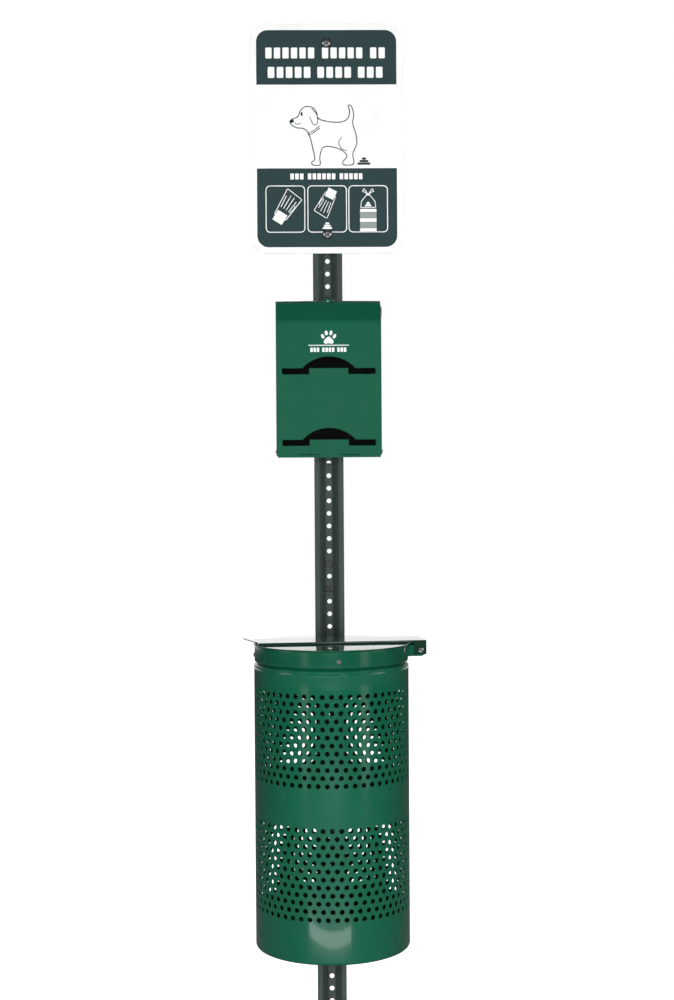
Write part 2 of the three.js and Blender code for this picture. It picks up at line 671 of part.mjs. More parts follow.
// The cam points back, towards the plate, while the lock is open.
function lockCamGeometry() {
  const half = CAM_WIDTH / 2;
  const shape = new THREE.Shape();
  const hub = tailRadius + HOLE_CLEARANCE + 2.4;
  const meet = Math.asin(half / hub);
  shape.absarc(LOCK_Y, LOCK_Z, hub, meet, 2 * Math.PI - meet);
  shape.lineTo(LOCK_Y + CAM_LENGTH, LOCK_Z - half);
  shape.lineTo(LOCK_Y + CAM_LENGTH, LOCK_Z + half);
  const bore = barX(tailRadius + CONTACT_GAP, camX - 1, camX + CAM_THICKNESS + 1, LOCK_Y, LOCK_Z);
  return cut(sideways(shape, camX, camX + CAM_THICKNESS, ROUND_SIDES / 2), [bore]);
}

// A bent strip on the back plate. Its front lip blocks the cam once that is turned down.
function lockKeeperGeometry() {
  const half = KEEPER_SHEET / 2;
  const footY = PLATE_FRONT - CONTACT_GAP - half;
  const lipY = LOCK_Y - CAM_WIDTH / 2 - CONTACT_GAP - half - 1;
  const armX = camX - KEEPER_ARM_OFFSET;
  const strip = bentSheet([
    [armX - KEEPER_FOOT, footY],
    [armX, footY],
    [armX, lipY],
    [camX + CAM_THICKNESS, lipY],
  ], KEEPER_SHEET);
  const top = LOCK_Z - CAM_WIDTH / 2 - 3;
  return raised(outline(strip), top - KEEPER_HEIGHT, top);
}

add('lock_barrel', lockBarrelGeometry(), zinc());
add('lock_plug', lockPlugGeometry(), brass());
add('lock_nut', lockNutGeometry(), zinc());
add('lock_cam', lockCamGeometry(), zinc());
add('lock_keeper', lockKeeperGeometry(), zinc());

// ---------------------------------------------------------------- bin

const bandRadius = BIN_RADIUS - BAND_STEP;
const neckRadius = BIN_RADIUS - NECK_STEP;
const lidRadius = bandRadius + LID_OVERHANG;
const BIN_BOTTOM = BAND_TOP - BIN_HEIGHT;
const BAND_BOTTOM = BAND_TOP - BAND_HEIGHT;
const strapTurn = rad(STRAP_TURN);

// The lid swings about an axis that is turned with the strap, so its rear edge
// comes closest to the post's right flange on the way up.
const liftReach = lidRadius / Math.cos(strapTurn) + POST_HALF_WIDTH * Math.tan(strapTurn);
const BIN_Y = UPPER_FLANGE - liftReach - LID_POST_CLEARANCE;

const bin = new THREE.Group();
bin.position.set(0, BIN_Y, 0);
group.add(bin);

const floorLipTop = BIN_BOTTOM + FLOOR_RAISE + FLOOR_LIP;
const binBolts = {
  bin_upper: holeNumber(BAND_TOP - BIN_BOLT_BELOW_RIM) * HOLE_PITCH,
  bin_lower: Math.ceil((floorLipTop + WASHER_DIAMETER / 2 + MOVING_GAP) / HOLE_PITCH) * HOLE_PITCH,
};
const boltBore = shankRadius + HOLE_CLEARANCE;
const rearBores = Object.values(binBolts).map((z) => barY(boltBore, 0, 2 * BIN_RADIUS, 0, z));

function aroundBin(angle, geometry) {
  return geometry.rotateZ(angle);
}

const screwZ = BAND_TOP - SCREW_BELOW_RIM;
const screwAngles = SCREW_ANGLES.map(rad);
const rivetZ = BAND_TOP - RIVET_BELOW_RIM;
const rivetAngles = [-1, 1].map((side) => strapTurn + side * rad(BRACKET_RIVET_SPREAD));

function radialBores(z, radius, angles) {
  return angles.map((angle) => aroundBin(angle,
    barX(radius, neckRadius - 10, BIN_RADIUS + 10, 0, z)));
}

const screwBores = radialBores(screwZ, SCREW_DIAMETER / 2 + HOLE_CLEARANCE, screwAngles);
const rivetBores = radialBores(rivetZ, RIVET_DIAMETER / 2 + HOLE_CLEARANCE, rivetAngles);

function binWallGeometry() {
  const half = BIN_SHEET / 2;
  const shoulderTop = BAND_BOTTOM - SHOULDER_GAP;
  const section = bentSheet([
    [BIN_RADIUS - half, BIN_BOTTOM],
    [BIN_RADIUS - half, shoulderTop - SHOULDER_RISE],
    [neckRadius - half, shoulderTop],
    [neckRadius - half, BAND_TOP - NECK_BELOW_RIM],
  ], BIN_SHEET);
  return cut(turned(section, BIN_SIDES), [...rearBores, ...screwBores, ...rivetBores]);
}

function binFloorGeometry() {
  const r = BIN_RADIUS - BIN_SHEET - CONTACT_GAP;
  const z = BIN_BOTTOM + FLOOR_RAISE;
  return turned([
    [0, z],
    [r, z],
    [r, z + FLOOR_LIP],
    [r - FLOOR_SHEET, z + FLOOR_LIP],
    [r - FLOOR_SHEET, z + FLOOR_SHEET],
    [0, z + FLOOR_SHEET],
  ], BIN_SIDES);
}

function rimBandGeometry() {
  const half = BAND_SHEET / 2;
  const lip = neckRadius + CONTACT_GAP;
  const section = bentSheet([
    [lip, BAND_BOTTOM + half],
    [bandRadius - half, BAND_BOTTOM + half],
    [bandRadius - half, BAND_TOP - half],
    [neckRadius - BIN_SHEET - 2, BAND_TOP - half],
  ], BAND_SHEET);
  return cut(turned(section, BIN_SIDES), [...screwBores, ...rivetBores]);
}

add('bin_wall', binWallGeometry(), binPaint(), bin);
add('bin_floor', binFloorGeometry(), binPaint(), bin);
add('rim_band', rimBandGeometry(), bandPaint(), bin);

// Small headed fastener along +X: the head bears on bearingX, the tip ends at tipX.
function studGeometry(shankDiameter, headDiameter, headHeight, bearingX, tipX, z) {
  const near = bearingX + CONTACT_GAP;
  const head = barX(headDiameter / 2, near, near + headHeight, 0, z);
  return join([head, barX(shankDiameter / 2, tipX, near + headHeight / 2, 0, z)]);
}

screwAngles.forEach((angle, i) => {
  const screw = studGeometry(SCREW_DIAMETER, SCREW_HEAD_DIAMETER, SCREW_HEAD_HEIGHT,
    bandRadius, neckRadius - BIN_SHEET - SCREW_TIP, screwZ);
  add(`band_screw_${i + 1}`, aroundBin(angle, screw), zinc(), bin);
});

// ---------------------------------------------------------------- bin to post

// A block with a hollow front fills the space between the round bin and the flat flanges.
function saddleGeometry(z) {
  const rear = postAt(z).flangeFront - CONTACT_GAP;
  const half = SADDLE_WIDTH / 2;
  const top = z + SADDLE_HEIGHT / 2;
  const bottom = z - SADDLE_HEIGHT / 2;
  const block = box(-half, half, BIN_Y + BIN_RADIUS * 0.8, rear, bottom, top);
  const hollow = turned([
    [0, bottom - 1],
    [BIN_RADIUS + CONTACT_GAP, bottom - 1],
    [BIN_RADIUS + CONTACT_GAP, top + 1],
    [0, top + 1],
  ], BIN_SIDES).translate(0, BIN_Y, 0);
  return cut(block, [hollow, barY(boltBore, BIN_Y, rear + 1, 0, z)]);
}

for (const [label, z] of Object.entries(binBolts)) {
  add(`${label}_saddle`, saddleGeometry(z), bandPaint());
  const washerHalf = WASHER_DIAMETER / 2;
  const insideRadius = BIN_RADIUS - BIN_SHEET;
  const wallInside = BIN_Y + Math.sqrt(insideRadius ** 2 - washerHalf ** 2) - CONTACT_GAP;
  fastenToPost(label, z, wallInside, { washer: true });
}

// ---------------------------------------------------------------- lid hinge bracket

const pivotU = bandRadius + PIVOT_REACH;
const pivotZ = BAND_TOP - PIVOT_BELOW_RIM;
const cheekOuter = STRAP_WIDTH / 2;
const cheekInner = cheekOuter - STRAP_SHEET;
const earOuter = cheekInner - MOVING_GAP;
const pivotBore = PIVOT_DIAMETER / 2 + HOLE_CLEARANCE;

// Everything on the hinge is laid out along +X and then turned with the strap.
const hinge = new THREE.Group();
hinge.rotation.z = strapTurn;
bin.add(hinge);

function bracketGeometry() {
  const spread = rad(BRACKET_HALF_SPREAD);
  const inner = bandRadius + CONTACT_GAP;
  const base = new THREE.Shape();
  base.absarc(0, 0, inner + BRACKET_SHEET, -spread, spread);
  base.absarc(0, 0, inner, spread, -spread, true);
  const low = pivotZ - BRACKET_EAR_RADIUS;
  const high = pivotZ + BRACKET_EAR_RADIUS - 2;
  const strip = raised(base, low, high, 16);
  const ears = [-1, 1].map((side) => {
    const v0 = side > 0 ? earOuter - BRACKET_SHEET : -earOuter;
    const root = Math.sqrt(inner ** 2 - earOuter ** 2) + BRACKET_SHEET * 0.7;
    const ear = new THREE.Shape();
    ear.moveTo(root, low);
    ear.lineTo(pivotU, low);
    ear.absarc(pivotU, pivotZ, BRACKET_EAR_RADIUS, -Math.PI / 2, Math.asin(1 - 2 / BRACKET_EAR_RADIUS));
    ear.lineTo(root, high);
    return standing(ear, v0, v0 + BRACKET_SHEET, 5);
  });
  const rivets = [-1, 1].map((side) => aroundBin(side * rad(BRACKET_RIVET_SPREAD),
    barX(RIVET_DIAMETER / 2 + HOLE_CLEARANCE, bandRadius - 5, bandRadius + 10, 0, rivetZ)));
  const pivot = barY(pivotBore, -STRAP_WIDTH, STRAP_WIDTH, pivotU, pivotZ);
  const bandClear = turned([
    [0, low - 1],
    [inner, low - 1],
    [inner, high + 1],
    [0, high + 1],
  ], BIN_SIDES * 2);
  return cut(join([strip, ...ears]), [bandClear, pivot, ...rivets]);
}

add('hinge_bracket', bracketGeometry(), bandPaint(), hinge);

[['front', -1], ['rear', 1]].forEach(([where, side]) => {
  const rivet = studGeometry(RIVET_DIAMETER, RIVET_HEAD_DIAMETER, RIVET_HEAD_HEIGHT,
    bandRadius + CONTACT_GAP + BRACKET_SHEET, neckRadius - BIN_SHEET - RIVET_TAIL, rivetZ);
  add(`bracket_rivet_${where}`, aroundBin(side * rad(BRACKET_RIVET_SPREAD), rivet), zinc(), hinge);
});

function pivotPinGeometry() {
  const headFace = -cheekOuter - CONTACT_GAP;
  const end = cheekOuter + CONTACT_GAP + PIVOT_HEAD_HEIGHT + 1;
  const head = barY(PIVOT_HEAD_DIAMETER / 2, headFace - PIVOT_HEAD_HEIGHT, headFace, pivotU, pivotZ);
  return join([head, barY(PIVOT_DIAMETER / 2, headFace - 1, end, pivotU, pivotZ)]);
}

function pivotCapGeometry() {
  const near = cheekOuter + CONTACT_GAP;
  const cap = barY(PIVOT_HEAD_DIAMETER / 2, near, near + PIVOT_HEAD_HEIGHT, pivotU, pivotZ);
  return cut(cap, [barY(PIVOT_DIAMETER / 2 + CONTACT_GAP, near - 1, near + PIVOT_HEAD_HEIGHT + 1,
    pivotU, pivotZ)]);
}

add('lid_pivot_pin', pivotPinGeometry(), zinc(), hinge);
add('lid_pivot_cap', pivotCapGeometry(), zinc(), hinge);

// ---------------------------------------------------------------- lid

const LID_UNDERSIDE = BAND_TOP + CONTACT_GAP;
const LID_TOP = LID_UNDERSIDE + LID_SHEET;

function lidDiscGeometry() {
  return turned([
    [0, LID_UNDERSIDE],
    [lidRadius, LID_UNDERSIDE],
    [lidRadius, LID_TOP],
    [0, LID_TOP],
  ], BIN_SIDES);
}

// The strap is one folded sheet: a flat top with shallow edges over the lid, deep
// cheeks at the hinge, and a narrow end that is bent up as the lifting handle.
function lidStrapGeometry() {
  const base = LID_TOP + CONTACT_GAP;
  const top = base + STRAP_HEIGHT;
  const cheekStart = pivotU - CHEEK_BEFORE_PIVOT;
  const cheekEnd = pivotU + CHEEK_PAST_PIVOT;
  const discEnd = -Math.sqrt(lidRadius ** 2 - cheekOuter ** 2);
  const topSheet = box(discEnd, cheekEnd, -cheekOuter, cheekOuter, top - STRAP_SHEET, top);
  const edges = [-1, 1].map((side) => {
    const v0 = side > 0 ? cheekInner : -cheekOuter;
    const profile = outline([
      [discEnd, base],
      [cheekStart, base],
      [cheekStart, pivotZ - CHEEK_BELOW_PIVOT],
      [cheekEnd, pivotZ - CHEEK_BELOW_PIVOT],
      [cheekEnd, top],
      [discEnd, top],
    ]);
    return standing(profile, v0, v0 + STRAP_SHEET);
  });
  const bendU = -lidRadius + 4;
  const tipU = -lidRadius - HANDLE_REACH;
  const bend = rad(HANDLE_BEND);
  const mid = top - STRAP_SHEET / 2;
  const side = bentSheet([
    [tipU, mid + (bendU - tipU) * Math.tan(bend)],
    [bendU, mid],
    [discEnd + 2, mid],
  ], STRAP_SHEET);
  const tab = standing(outline(side), -HANDLE_WIDTH / 2, HANDLE_WIDTH / 2);
  const pivot = barY(pivotBore, -STRAP_WIDTH, STRAP_WIDTH, pivotU, pivotZ);
  return cut(join([topSheet, ...edges, tab]), [pivot]);
}

add('lid_disc', lidDiscGeometry(), lidPaint(), hinge);
add('lid_strap', lidStrapGeometry(), lidPaint(), hinge);

export default group;
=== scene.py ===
# %% [markdown]
# Dog waste station. A steel channel post carries a printed sign, a folded bag
# dispenser with a locked cover, and a perforated round bin with a hinged lid.
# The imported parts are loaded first, because every size and place comes from them.
# Blender then adds what the plain solids lack: rounded bends, punched holes,
# threads, screen printing and paint.

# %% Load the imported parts
import json
from math import acos, asin, atan2, cos, degrees, hypot, pi, radians, sin, sqrt, tan

import bmesh
import bpy
import numpy as np
from mathutils import Matrix, Vector


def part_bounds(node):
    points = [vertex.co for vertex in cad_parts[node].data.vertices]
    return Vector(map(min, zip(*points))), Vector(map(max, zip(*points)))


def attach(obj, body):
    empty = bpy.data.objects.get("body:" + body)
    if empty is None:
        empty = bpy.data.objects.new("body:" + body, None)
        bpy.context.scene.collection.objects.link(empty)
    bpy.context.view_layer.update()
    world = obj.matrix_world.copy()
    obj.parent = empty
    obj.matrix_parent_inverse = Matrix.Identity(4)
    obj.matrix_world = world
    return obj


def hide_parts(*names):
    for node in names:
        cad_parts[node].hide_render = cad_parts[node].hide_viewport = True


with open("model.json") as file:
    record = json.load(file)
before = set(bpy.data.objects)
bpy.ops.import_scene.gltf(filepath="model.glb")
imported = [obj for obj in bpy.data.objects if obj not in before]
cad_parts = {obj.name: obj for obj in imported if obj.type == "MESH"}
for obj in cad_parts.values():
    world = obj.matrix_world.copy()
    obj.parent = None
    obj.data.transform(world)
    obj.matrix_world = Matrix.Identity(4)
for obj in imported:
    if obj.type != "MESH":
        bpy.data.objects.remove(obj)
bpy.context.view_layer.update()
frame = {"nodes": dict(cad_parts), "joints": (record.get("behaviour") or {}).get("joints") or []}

MM = 0.001

# %% [markdown]
# Most shapes here are drawn in millimetres, as on a workshop drawing, and turned
# into metres once, when the mesh is made. This cell reads a part's box back in
# millimetres, so that each new piece starts from the part it stands for.

# %% Read a part's box in millimetres


def part_box(node):
    low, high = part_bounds(node)
    return low / MM, high / MM


def part_middle(node):
    low, high = part_box(node)
    return (low + high) / 2


BIN_MIDDLE = part_middle("bin_wall")
print("middle of the bin, mm:", [round(v, 1) for v in BIN_MIDDLE])

# %% [markdown]
# A mesh is only points and faces. Building a shape cell by cell makes the same
# corner many times, so the welder gives back the old point when a place comes up
# again. It keeps the shell closed without a later clean-up by distance.

# %% A welder for points


class Welder:
    def __init__(self):
        self.points = []
        self.faces = []
        self.seen = {}

    def point(self, x, y, z):
        key = (round(x, 4), round(y, 4), round(z, 4))
        if key not in self.seen:
            self.seen[key] = len(self.points)
            self.points.append(Vector((x, y, z)))
        return self.seen[key]

    def face(self, corners):
        ring = [c for i, c in enumerate(corners) if c != corners[i - 1]]
        if len(ring) > 2:
            self.faces.append(ring)


# %% [markdown]
# Every piece ends the same way: a mesh in metres, outward faces, one finish, the
# body that it moves with, and the plain part that it stands for. Smooth shading
# with a break at steep corners keeps flats flat and bends round.

# %% Turn points and faces into a finished piece


def shade(mesh, break_angle=40):
    mesh.polygons.foreach_set("use_smooth", [True] * len(mesh.polygons))
    mesh.set_sharp_from_angle(angle=radians(break_angle))


def raw_piece(name, points, faces, turn_outward=True):
    mesh = bpy.data.meshes.new(name)
    mesh.from_pydata([Vector(p) * MM for p in points], [], faces)
    if turn_outward:
        work = bmesh.new()
        work.from_mesh(mesh)
        bmesh.ops.recalc_face_normals(work, faces=work.faces)
        work.to_mesh(mesh)
        work.free()
    shade(mesh)
    piece = bpy.data.objects.new(name, mesh)
    bpy.context.scene.collection.objects.link(piece)
    return piece


def fit(piece, finish, body, slot, *nodes):
    piece.data.materials.clear()
    piece.data.materials.append(finish)
    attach(piece, body)
    if nodes:
        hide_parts(*nodes)
    return piece


# %% [markdown]
# Real sheet and bar never has a razor edge. A small bevel catches a thin line of
# light along each cut, which tells the eye how thick the metal is. Weighted
# normals then keep the broad faces flat next to those narrow strips.

# %% Bake modifiers and ease the edges


def bake(piece):
    graph = bpy.context.evaluated_depsgraph_get()
    mesh = bpy.data.meshes.new_from_object(piece.evaluated_get(graph))
    piece.modifiers.clear()
    piece.data = mesh
    return piece


def ease_edges(piece, width, segments=2, from_angle=50):
    bevel = piece.modifiers.new("eased edge", "BEVEL")
    bevel.width = width * MM
    bevel.segments = segments
    bevel.limit_method = "ANGLE"
    bevel.angle_limit = radians(from_angle)
    bake(piece)
    shade(piece.data, 50)
    level = piece.modifiers.new("flat faces", "WEIGHTED_NORMAL")
    level.keep_sharp = True
    return piece


def carve(piece, cutters, how="DIFFERENCE"):
    for cutter in cutters:
        step = piece.modifiers.new("carve", "BOOLEAN")
        step.operation = how
        step.solver = "EXACT"
        step.object = cutter
        bake(piece)
        bpy.data.objects.remove(cutter)
    return piece


# %% [markdown]
# A folding machine leaves a radius at each bend. These two helpers draw it: the
# first swaps a corner of a drawn line for an arc, and the second gives the line a
# sheet's thickness by stepping off to both sides.

# %% Round a line's corners and give it thickness


def arc(middle, radius, start, end, steps):
    turn = (end - start) / steps
    return [
        (middle[0] + radius * cos(start + i * turn), middle[1] + radius * sin(start + i * turn))
        for i in range(steps + 1)
    ]


def round_corners(points, radii, closed=False, steps=6):
    line = [Vector(p) for p in points]
    rounded = []
    for i, corner in enumerate(line):
        radius = radii[i] if isinstance(radii, (list, tuple)) else radii
        at_end = not closed and i in (0, len(line) - 1)
        if at_end or not radius:
            rounded.append(tuple(corner))
            continue
        to_last = (line[i - 1] - corner).normalized()
        to_next = (line[(i + 1) % len(line)] - corner).normalized()
        half = acos(max(-1, min(1, to_last.dot(to_next)))) / 2
        middle = corner + (to_last + to_next).normalized() * radius / sin(half)
        start = atan2(*reversed(corner + to_last * radius / tan(half) - middle))
        end = atan2(*reversed(corner + to_next * radius / tan(half) - middle))
        sweep = (end - start + pi) % (2 * pi) - pi
        rounded += arc(middle, radius, start, start + sweep, steps)
    return rounded


def step_off(line, distance):
    path = [Vector(p) for p in line]
    sides = [(b - a).normalized() for a, b in zip(path, path[1:])]
    stepped = []
    for i, point in enumerate(path):
        before = sides[max(i - 1, 0)]
        after = sides[min(i, len(sides) - 1)]
        across = Vector((-before.y - after.y, before.x + after.x))
        stepped.append(tuple(point + across * distance / (1 + before.dot(after))))
    return stepped


def sheet_outline(points, radii, thickness):
    line = round_corners(points, radii)
    return step_off(line, thickness / 2) + step_off(line, -thickness / 2)[::-1]


sample = round_corners([(0, 0), (10, 0), (10, 10)], 3)
print("a 10 mm corner of radius 3 has", len(sample), "points")

# %% [markdown]
# Nearly everything on this station is made in one of two ways: a flat outline
# given a depth, as sheet metal is cut, or a profile turned about an axis, as a
# lathe or a spinning chuck does. Both are short loops over points, which gives
# clean four-sided faces that shade well.

# %% Push an outline, turn a profile


def prism(name, outline, low, high, along):
    place = {
        "x": lambda a, b, h: (h, a, b),
        "y": lambda a, b, h: (a, h, b),
        "z": lambda a, b, h: (a, b, h),
    }[along]
    count = len(outline)
    points = [place(a, b, h) for h in (low, high) for a, b in outline]
    faces = [[i, (i + 1) % count, (i + 1) % count + count, i + count] for i in range(count)]
    faces += [list(range(count))[::-1], list(range(count, 2 * count))]
    return raw_piece(name, points, faces)


def block(name, low, high):
    corners = [(low[0], low[1]), (high[0], low[1]), (high[0], high[1]), (low[0], high[1])]
    return prism(name, corners, low[2], high[2], "z")


def turned(name, profile, origin, axis=(0, 0, 1), segments=48):
    """Closed (radius, height) profile, turned about an axis through origin."""
    spin = Vector((0, 0, 1)).rotation_difference(Vector(axis).normalized())
    welder = Welder()
    rings = []
    for radius, height in profile:
        angles = [2 * pi * i / segments for i in range(segments)]
        ring = [Vector((radius * cos(a), radius * sin(a), height)) for a in angles]
        rings.append([welder.point(*(spin @ p + Vector(origin))) for p in ring])
    for ring, following in zip(rings, rings[1:] + rings[:1]):
        for i in range(segments):
            j = (i + 1) % segments
            welder.face([ring[i], ring[j], following[j], following[i]])
    return raw_piece(name, welder.points, welder.faces)


def skin(welder, rings):
    """Faces from ring to ring along a bar, and one at each end."""
    for ring, following in zip(rings, rings[1:]):
        for k in range(len(ring)):
            welder.face([ring[k - 1], ring[k], following[k], following[k - 1]])
    welder.face(rings[0])
    welder.face(rings[-1][::-1])


def drill(radius, length, start, axis=(0, 1, 0), segments=32):
    """A cutter for a drilled hole that runs back from start, or along another axis."""
    profile = [(0, 0), (radius, 0), (radius, length), (0, length)]
    return turned("bore", profile, start, axis, segments)


def dome(radius, height, steps=6):
    """Profile of a shallow domed head that stands on height 0."""
    ball = (radius ** 2 + height ** 2) / (2 * height)
    reach = asin(radius / ball)
    angles = [reach * i / steps for i in range(steps + 1)]
    return [(ball * sin(a), ball * cos(a) - ball + height) for a in reversed(angles)]


# %% [markdown]
# Paint finishes. A powder coat is never one flat colour: it has a fine
# orange-peel skin, slightly cloudy gloss, and a trace of settled dust. Noise in
# the piece's own space drives the colour, the roughness and the bump. A painted
# texture could do the same, but noise has no seams and any scale.

# %% Helpers for node finishes


def swatch(red, green, blue):
    """A paint chart colour, 0 to 255, as the linear light Blender works in."""
    linear = [v / 12.92 if v <= 0.04045 else ((v + 0.055) / 1.055) ** 2.4
              for v in (red / 255, green / 255, blue / 255)]
    return (*linear, 1.0)


def lighter(colour, factor):
    return (*[min(1.0, c * factor) for c in colour[:3]], 1.0)


class Finish:
    """A material with its shader, and short ways to add the usual detail."""

    def __init__(self, name, roughness, metallic=0.0, coat=0.0, coat_roughness=0.05):
        self.material = bpy.data.materials.new(name)
        self.material.use_nodes = True
        self.nodes = self.material.node_tree.nodes
        self.link = self.material.node_tree.links.new
        self.shader = self.nodes["Principled BSDF"]
        self.shader.inputs["Roughness"].default_value = roughness
        self.shader.inputs["Metallic"].default_value = metallic
        self.shader.inputs["Coat Weight"].default_value = coat
        self.shader.inputs["Coat Roughness"].default_value = coat_roughness
        self.place = self.nodes.new("ShaderNodeTexCoord").outputs["Object"]
        self.bump = None

    def noise(self, scale, detail=3.0, stretch=(1, 1, 1)):
        source = self.place
        if stretch != (1, 1, 1):
            mapping = self.nodes.new("ShaderNodeMapping")
            mapping.inputs["Scale"].default_value = stretch
            self.link(self.place, mapping.inputs["Vector"])
            source = mapping.outputs["Vector"]
        noise = self.nodes.new("ShaderNodeTexNoise")
        noise.inputs["Scale"].default_value = scale
        noise.inputs["Detail"].default_value = detail
        self.link(source, noise.inputs["Vector"])
        return noise.outputs["Fac"]

    def cells(self, scale):
        cells = self.nodes.new("ShaderNodeTexVoronoi")
        cells.inputs["Scale"].default_value = scale
        self.link(self.place, cells.inputs["Vector"])
        return cells.outputs["Color"]

    def ramp(self, source, stops):
        ramp = self.nodes.new("ShaderNodeValToRGB")
        bands = ramp.color_ramp.elements
        while len(bands) < len(stops):
            bands.new(0.5)
        for band, (position, colour) in zip(bands, stops):
            band.position = position
            band.color = colour
        self.link(source, ramp.inputs["Fac"])
        return ramp.outputs["Color"]

    def blend(self, amount, first, second, how="MIX"):
        mix = self.nodes.new("ShaderNodeMix")
        mix.data_type = "RGBA"
        mix.blend_type = how
        for socket, value in (("Factor", amount), ("A", first), ("B", second)):
            target = [s for s in mix.inputs if s.name == socket and s.enabled][0]
            if isinstance(value, bpy.types.NodeSocket):
                self.link(value, target)
            else:
                target.default_value = value
        return [s for s in mix.outputs if s.enabled][0]

    def colour(self, source):
        self.link(source, self.shader.inputs["Base Color"])
        return self

    def gloss(self, source, low, high):
        spread = self.nodes.new("ShaderNodeMapRange")
        spread.inputs["To Min"].default_value = low
        spread.inputs["To Max"].default_value = high
        self.link(source, spread.inputs["Value"])
        self.link(spread.outputs["Result"], self.shader.inputs["Roughness"])
        return self

    def relief(self, source, strength, depth_mm):
        bump = self.nodes.new("ShaderNodeBump")
        bump.inputs["Strength"].default_value = strength
        bump.inputs["Distance"].default_value = depth_mm * MM
        self.link(source, bump.inputs["Height"])
        if self.bump:
            self.link(self.bump, bump.inputs["Normal"])
        self.bump = bump.outputs["Normal"]
        self.link(self.bump, self.shader.inputs["Normal"])
        return self


# %% [markdown]
# The green parts share one recipe. The clouds are the slow change in film
# thickness, the specks are grains of pigment, and the dust is a paler, duller
# bloom. Orange peel is a bump a few hundredths of a millimetre deep and about two
# millimetres across, so it shows only where a light is mirrored.

# %% Powder coat


def powder_coat(name, colour, roughness, coat, peel=0.2, dust=0.014, shine=0.3):
    finish = Finish(name, roughness, coat=coat)
    finish.shader.inputs["Specular IOR Level"].default_value = shine
    clouds = finish.ramp(finish.noise(7, 4), [
        (0.3, lighter(colour, 0.95)),
        (0.7, lighter(colour, 1.05)),
    ])
    specks = finish.ramp(finish.noise(1500, 2), [
        (0.35, (0.93, 0.93, 0.93, 1)),
        (0.65, (1, 1, 1, 1)),
    ])
    pigment = finish.blend(1.0, clouds, specks, "MULTIPLY")
    bloom = finish.ramp(finish.noise(26, 6), [
        (0.45, (0, 0, 0, 1)),
        (0.85, (dust, dust, dust, 1)),
    ])
    finish.colour(finish.blend(bloom, pigment, (0.36, 0.4, 0.36, 1)))
    finish.gloss(finish.noise(40, 5), roughness * 0.8, roughness * 1.25)
    finish.relief(finish.noise(450, 2), peel, 0.05)
    return finish.material


DISPENSER_GREEN = powder_coat("dispenser powder coat", swatch(10, 87, 62), 0.36, 0.08)
BIN_GREEN = powder_coat("bin powder coat", swatch(12, 89, 65), 0.2, 0.35)
BAND_GREEN = powder_coat("rim band powder coat", swatch(11, 81, 57), 0.24, 0.35)
# Painted shade: the bin's inside is the same coat as the outside, drawn darker for the shade in
# there.
INSIDE_SHADE_GREEN = powder_coat("bin inside painted shade", swatch(8, 42, 31), 0.4, 0.0)
LID_GREEN = powder_coat("lid gloss coat", swatch(15, 75, 54), 0.06, 1.0,
                        peel=0.03, dust=0.02, shine=0.8)
# Painted shade: the strap wears the lid's own paint, drawn darker for the shade on its narrow
# faces.
STRAP_SHADED_GREEN = powder_coat("strap gloss coat with painted shade", swatch(10, 50, 36), 0.08, 1.0,
                          peel=0.05, dust=0.02, shine=0.8)
HARD_GLOSS = 1.9  # refractive index; a fresh hard coat mirrors more than old paint
for gloss in (LID_GREEN, STRAP_SHADED_GREEN):
    gloss.node_tree.nodes["Principled BSDF"].inputs["Coat IOR"].default_value = HARD_GLOSS
print("green finishes:", DISPENSER_GREEN.name, "/", BIN_GREEN.name, "/", LID_GREEN.name)

# %% [markdown]
# The post is rolled rail steel with a thin baked enamel. It is duller than powder
# coat, and shows long rolling lines, faint streaks that run down the length, and
# chips. Stretching the noise along the post draws all of those.

# %% Post enamel


def baked_enamel(name, colour, roughness):
    finish = Finish(name, roughness, coat=0.15, coat_roughness=0.3)
    streaks = finish.ramp(finish.noise(160, 4, stretch=(1, 1, 0.04)), [
        (0.3, lighter(colour, 0.82)),
        (0.7, lighter(colour, 1.15)),
    ])
    scuffs = finish.ramp(finish.noise(70, 8), [
        (0.62, (0, 0, 0, 1)),
        (0.74, (0.3, 0.3, 0.3, 1)),
    ])
    finish.colour(finish.blend(scuffs, streaks, lighter(colour, 1.6)))
    finish.gloss(finish.noise(30, 6), roughness * 0.8, roughness * 1.3)
    finish.relief(finish.noise(700, 3), 0.3, 0.05)
    finish.relief(finish.noise(240, 2, stretch=(1, 1, 0.03)), 0.25, 0.06)
    return finish.material


POST_ENAMEL = baked_enamel("post baked enamel", swatch(61, 72, 69), 0.42)

# %% [markdown]
# Zinc plating grows in small crystals that each mirror the room a little
# differently. Cell noise gives every crystal its own grey and its own gloss. The
# chromed lock face is nearly a mirror, and the brass plug has turning marks.

# %% Bare metals


def plated(name, colour, roughness, crystal):
    finish = Finish(name, roughness, metallic=1.0)
    grains = finish.ramp(finish.cells(crystal), [
        (0.1, lighter(colour, 0.8)),
        (0.9, lighter(colour, 1.1)),
    ])
    haze = finish.ramp(finish.noise(120, 6), [
        (0.45, (0, 0, 0, 1)),
        (0.8, (0.3, 0.3, 0.3, 1)),
    ])
    finish.colour(finish.blend(haze, grains, lighter(colour, 0.6)))
    finish.gloss(finish.noise(900, 3), roughness * 0.75, roughness * 1.35)
    finish.relief(finish.noise(2500, 2), 0.15, 0.02)
    return finish.material


ZINC = plated("bright zinc plate", swatch(206, 208, 210), 0.28, 900)
BARE_EDGE = plated("bare sheet edge", swatch(176, 178, 180), 0.4, 1200)
# The sign's washers are simply drawn dark grey.
DARK_WASHER = plated("dark grey washer", swatch(58, 60, 62), 0.45, 900)
CHROME = plated("lock chrome", swatch(214, 216, 218), 0.1, 300)
BRASS = plated("lock brass", swatch(190, 160, 92), 0.26, 600)

# %% [markdown]
# Screen printing lays a film of ink on the painted sheet. It is matte, with a
# faint weave from the mesh of the screen. The black bag film is thin polythene:
# soft gloss, fine creases that run down the bag. The card that holds a pack
# together is brown fibre board.

# %% Inks, film and card


